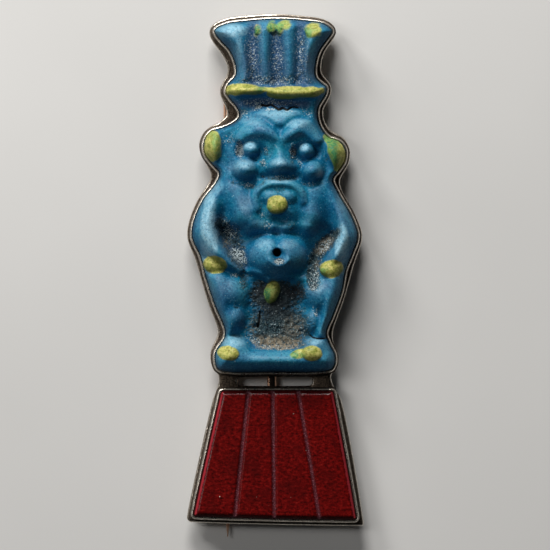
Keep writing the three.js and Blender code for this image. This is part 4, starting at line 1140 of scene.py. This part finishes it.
def carved_relief():
    """The relief and its colour fields."""
    r = Relief()
    for carve in (carve_crown, carve_headband, carve_head, carve_arms, carve_chest, carve_face,
                  carve_mouth, carve_belly, carve_legs, carve_base):
        carve(r)
    r.z = blurred(r.z, SMOOTHING / r.step)
    fields, cracks = glaze_fields(r)
    yellow, green = yellow_fields(r)
    r.dish(HOLE, (HOLE_HALF, HOLE_HALF), HOLE_DEPTH)
    r.z -= CRACK_DEPTH * cracks
    roughen(r, fields["sand"])
    add_blobs(r, yellow, green)
    # Painted shade on slopes that face the figure's foot, away from the light above the crown
    steep = np.gradient(blurred(r.z, STEEP_RADIUS / r.step), r.step, axis=0)
    fields["underside_shade"] = unit((steep - 0.2) * 0.75)
    fields["yellow"] = yellow
    fields["green"] = green
    return r, fields


# Pieces

# The figure: height of a part of relief, and how its shoulder rises from the girdle
DEPTH_PART = 8.3 * mm / 59
SHOULDER_REACH = 1.9 * mm
SHOULDER_RISE = 3.3 * mm
SHOULDER_SLOPE = 0.45
SHOULDER_BLEND = 4 * DEPTH_PART
RIM_REACH = 1.6 * mm


def faience_figure(material):
    r, fields = carved_relief()
    outline = outline_of("bes_figure", 0.7 * part)
    rings = np.array([0.12, 0.3, 0.6, 1.0, 1.5, 2.1, 2.8]) * part
    points, triangles, edge = filled_sheet([outline], rings, 0.84 * part)
    places = np.column_stack([(points[:, 0] - middle_x) / part, (points[:, 1] - base_y) / part])
    relief = r.at(places) * DEPTH_PART
    turned = 1 - unit(edge / SHOULDER_REACH)
    shoulder = GIRDLE + SHOULDER_RISE * np.sqrt(1 - turned ** 2)
    shoulder += SHOULDER_SLOPE * edge ** 2 / SHOULDER_REACH
    heights = -blended(-relief, -shoulder, SHOULDER_BLEND)
    heights[:len(outline)] = GIRDLE
    foot = figure_low.z
    vertices, faces = body_under(points, heights + foot, triangles, [outline], foot)
    figure = finish_mesh("glazed_bes_figure", vertices, faces, material)
    for name, field in fields.items():
        add_attribute(figure, name, r.at(places, field))
    add_attribute(figure, "rim", unit(1 - edge / RIM_REACH))
    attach(figure, "brooch")
    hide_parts("bes_figure")


# The tablet: its bevel and its grooves, which stand at those shares of its top and bottom edges
TABLET_GIRDLE = 2.0 * mm
BEVEL = 0.5 * mm
BEVEL_RISE = 0.45 * mm
BEVEL_SOFT = 0.18 * mm
BEVEL_WORN = 0.035 * mm
GROOVE_HALF = 0.375 * mm
GROOVE_DEPTH = 0.28 * mm
GROOVES = ((0.24, 0.25), (0.46, 0.495), (0.69, 0.775))
MATT_HALF = 0.33 * mm
MATT_EDGE = 0.2 * mm

# Painted glints along the bevel's sides and along its crest at the top, and how dark the painted shade
# on the bevel is
GLINT_FROM = 0.12 * mm
GLINT_SIDES = (("left", 0.26 * mm, 0.8), ("right", 0.24 * mm, 0.7))
GLINT_TOP_HALF = 0.06 * mm
GLINT_TOP = 0.35
BEVEL_SHADE = 0.8


def stone_tablet(material):
    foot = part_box("red_tablet")[0].z
    outline = outline_of("red_tablet", 0.1 * mm)
    rings = np.array([0.03, 0.07, 0.12, 0.18, 0.25, 0.33, 0.41, 0.48, 0.55, 0.63]) * mm
    points, triangles, edge = filled_sheet([outline], rings, 0.13 * mm)
    heights = TABLET_GIRDLE + BEVEL_RISE * unit(edge / BEVEL)
    heights -= BEVEL_WORN * unit(1 - np.abs(edge - BEVEL) / BEVEL_SOFT) ** 2
    corners = tablet_corners(outline)
    matt = np.zeros(len(points))
    painted_glint = np.zeros(len(points))
    for side, reach, strength in GLINT_SIDES:
        away = line_away(points, corners["bottom_" + side], corners["top_" + side])
        painted_glint = np.where((away < reach) & (edge > GLINT_FROM), strength, painted_glint)
    top_away = line_away(points, corners["top_left"], corners["top_right"])
    painted_glint = np.where(np.abs(top_away - BEVEL) < GLINT_TOP_HALF, GLINT_TOP, painted_glint)
    for shares in GROOVES:
        a, b = (
            corners[end + "_left"] + (corners[end + "_right"] - corners[end + "_left"]) * share
            for end, share in zip(("top", "bottom"), shares)
        )
        across = line_away(points, a, b)
        t = unit(across / GROOVE_HALF)
        heights = np.minimum(heights, TABLET_GIRDLE + BEVEL_RISE - GROOVE_DEPTH * (1 - t * t))
        matt = np.maximum(matt, unit((MATT_HALF - across) / MATT_EDGE))
    heights = np.maximum(heights, TABLET_GIRDLE)
    vertices, faces = body_under(points, heights + foot, triangles, [outline], foot)
    tablet = finish_mesh("polished_red_tablet", vertices, faces, material, sharp_angle=50)
    add_attribute(tablet, "matt", matt)
    add_attribute(tablet, "painted_glint", painted_glint)
    add_attribute(tablet, "bevel_shade", np.where(edge < BEVEL, BEVEL_SHADE, 0))
    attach(tablet, "brooch")
    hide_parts("red_tablet")


def line_away(points, a, b):
    """Each point's distance to the endless line through a and b."""
    d = (b - a) / np.linalg.norm(b - a)
    return np.abs((points - a) @ np.array([-d[1], d[0]]))


def tablet_corners(outline):
    """The rounded corners' middles: the points that reach furthest each way."""
    reach = {
        "top_left": (-1, 1.6), "top_right": (1, 1.6),
        "bottom_left": (-1, -1), "bottom_right": (1, -1),
    }
    centre = outline.mean(0)
    return {
        name: outline[np.argmax((outline - centre) @ np.array(way))] for name, way in reach.items()
    }


# The bezel wall's section: millimetres out from the stone, share of the wall's height, tarnish, which at
# the wall's feet is also painted shade
BEZEL_PROFILE = [
    (0.50, 0.0, 1.0), (0.47, 0.55, 1.0), (0.42, 0.8, 0.9), (0.37, 0.9, 0.6),
    (0.31, 0.96, 0.15), (0.24, 0.99, 0.0), (0.17, 1.0, 0.0), (0.1, 0.985, 0.0),
    (0.055, 0.94, 0.1), (0.04, 0.86, 0.5), (0.04, 0.0, 1.0),
]
BEZEL_SEED = 11
WAVE_STEPS = 45
WAVE_HEIGHT = 0.02 * mm


def bezel(name, node, stone, height, material):
    """A wall round a stone, its top edge rounded by wear and leaning over the stone."""
    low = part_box(node)[0].z
    outline = outline_of(stone, 0.12 * mm)
    tree = tree_of(outline_of(stone, 0.04 * mm))
    count = len(outline)
    random = np.random.default_rng(BEZEL_SEED).standard_normal(count)
    frequency = np.fft.rfftfreq(count)
    wave = np.fft.irfft(np.fft.rfft(random) * np.exp(-(frequency * WAVE_STEPS) ** 2), count)
    wave *= WAVE_HEIGHT / wave.std()
    sections = []
    for offset, share, _ in BEZEL_PROFILE:
        loop = moved_out(outline, offset * mm, tree)
        sections.append(np.column_stack([loop, low + height * share + wave * share]))
    vertices, faces = ring_body(sections)
    made = finish_mesh(name, vertices, faces, material)
    add_attribute(made, "tarnish_and_seam_shade", np.repeat([dull for _, _, dull in BEZEL_PROFILE], count))
    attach(made, "brooch")
    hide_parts(node)


# The plate: its rounded rim, how far it sinks towards its edges, and the seam along the bezels, dark
# with patina and painted shade
WALL_FROM_STONE = 0.5 * mm
RIM_ROUND = 0.26 * mm
RIM_DROP = 0.24 * mm
SINK_REACH = 0.7 * mm
SINK = 0.10 * mm
SEAM = 0.16 * mm
SEAM_TARNISH_AND_SHADE = 1.2
BACK_TARNISH = 0.35


def back_plate(material):
    low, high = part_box("setting_plate")
    outline, slot = (outline_of("setting_plate", 0.12 * mm, which) for which in (0, 1))
    rings = np.array([0.03, 0.07, 0.12, 0.18, 0.25, 0.33, 0.45]) * mm
    points, triangles, edge = filled_sheet([outline, slot], rings, 0.2 * mm)
    stones = [outline_of(node, 0.06 * mm) for node in ("bes_figure", "red_tablet")]
    from_stones = distances(tree_of(np.vstack(stones)), points)
    under_stones = inside(points, stones[0]) | inside(points, stones[1])
    gap = np.where(under_stones, 0, from_stones - WALL_FROM_STONE)
    turned = 1 - unit(edge / RIM_ROUND)
    heights = high.z - RIM_DROP * (1 - np.sqrt(1 - turned ** 2))
    heights -= SINK * unit(1 - edge / SINK_REACH)
    vertices, faces = body_under(points, heights, triangles, [outline, slot], low.z)
    plate = finish_mesh("worn_setting_plate", vertices, faces, material, sharp_angle=60)
    dull = 0.15 + 0.75 * ease(0.08 * mm, 0.3 * mm, edge)
    # Patina and painted contact shadow along the bezels' feet
    dull = np.where(gap < SEAM, SEAM_TARNISH_AND_SHADE, dull)
    add_attribute(plate, "tarnish_and_seam_shade", dull, BACK_TARNISH)
    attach(plate, "brooch")
    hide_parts("setting_plate")


# Degrees: faces merge below the first, edges are eased above the second and sharp above the third
FLAT_ANGLE = 1
EASED_ANGLE = 30
SHARP_ANGLE = 40


def softened_copy(node, name, material, body, bevel):
    """The node's own shape with its facets merged and its edges eased by that many millimetres."""
    work = bmesh.new()
    work.from_mesh(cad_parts[node].data)
    bmesh.ops.remove_doubles(work, verts=work.verts, dist=SAME_PLACE)
    bmesh.ops.dissolve_limit(work, angle_limit=math.radians(FLAT_ANGLE), verts=work.verts,
                             edges=work.edges, delimit=set())
    least = math.radians(EASED_ANGLE)
    sharp = [e for e in work.edges if e.is_manifold and e.calc_face_angle() > least]
    bmesh.ops.bevel(work, geom=sharp, offset=bevel * mm, segments=2, profile=0.5,
                    affect="EDGES", clamp_overlap=True)
    mesh = bpy.data.meshes.new(name)
    work.to_mesh(mesh)
    work.free()
    made = piece_of(mesh, name, material, SHARP_ANGLE)
    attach(made, body)
    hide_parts(node)


def add_floor(material):
    size = 3.0
    corners = [(-size, -size, 0), (size, -size, 0), (size, size, 0), (-size, size, 0)]
    floor = finish_mesh("floor", corners, [(0, 1, 2, 3)], material)


add_camera()
add_lights()
silver = silver_material()
copper = copper_material()
faience_figure(faience_material())
stone_tablet(red_stone_material())
bezel("figure_bezel_wall", "figure_bezel", "bes_figure", 2.0 * mm, silver)
bezel("tablet_bezel_wall", "tablet_bezel", "red_tablet", 1.8 * mm, silver)
back_plate(silver)
softened_copy("back_frame", "coppery_back_frame", copper, "brooch", 0.12)
softened_copy("pin_hinge", "eased_pin_hinge", copper, "brooch", 0.04)
softened_copy("hinge_rivet", "eased_hinge_rivet", copper, "brooch", 0.02)
softened_copy("pin_catch", "eased_pin_catch", copper, "brooch", 0.04)
softened_copy("pin_stem", "eased_pin_stem", copper, "pin", 0.03)
add_floor(floor_material())
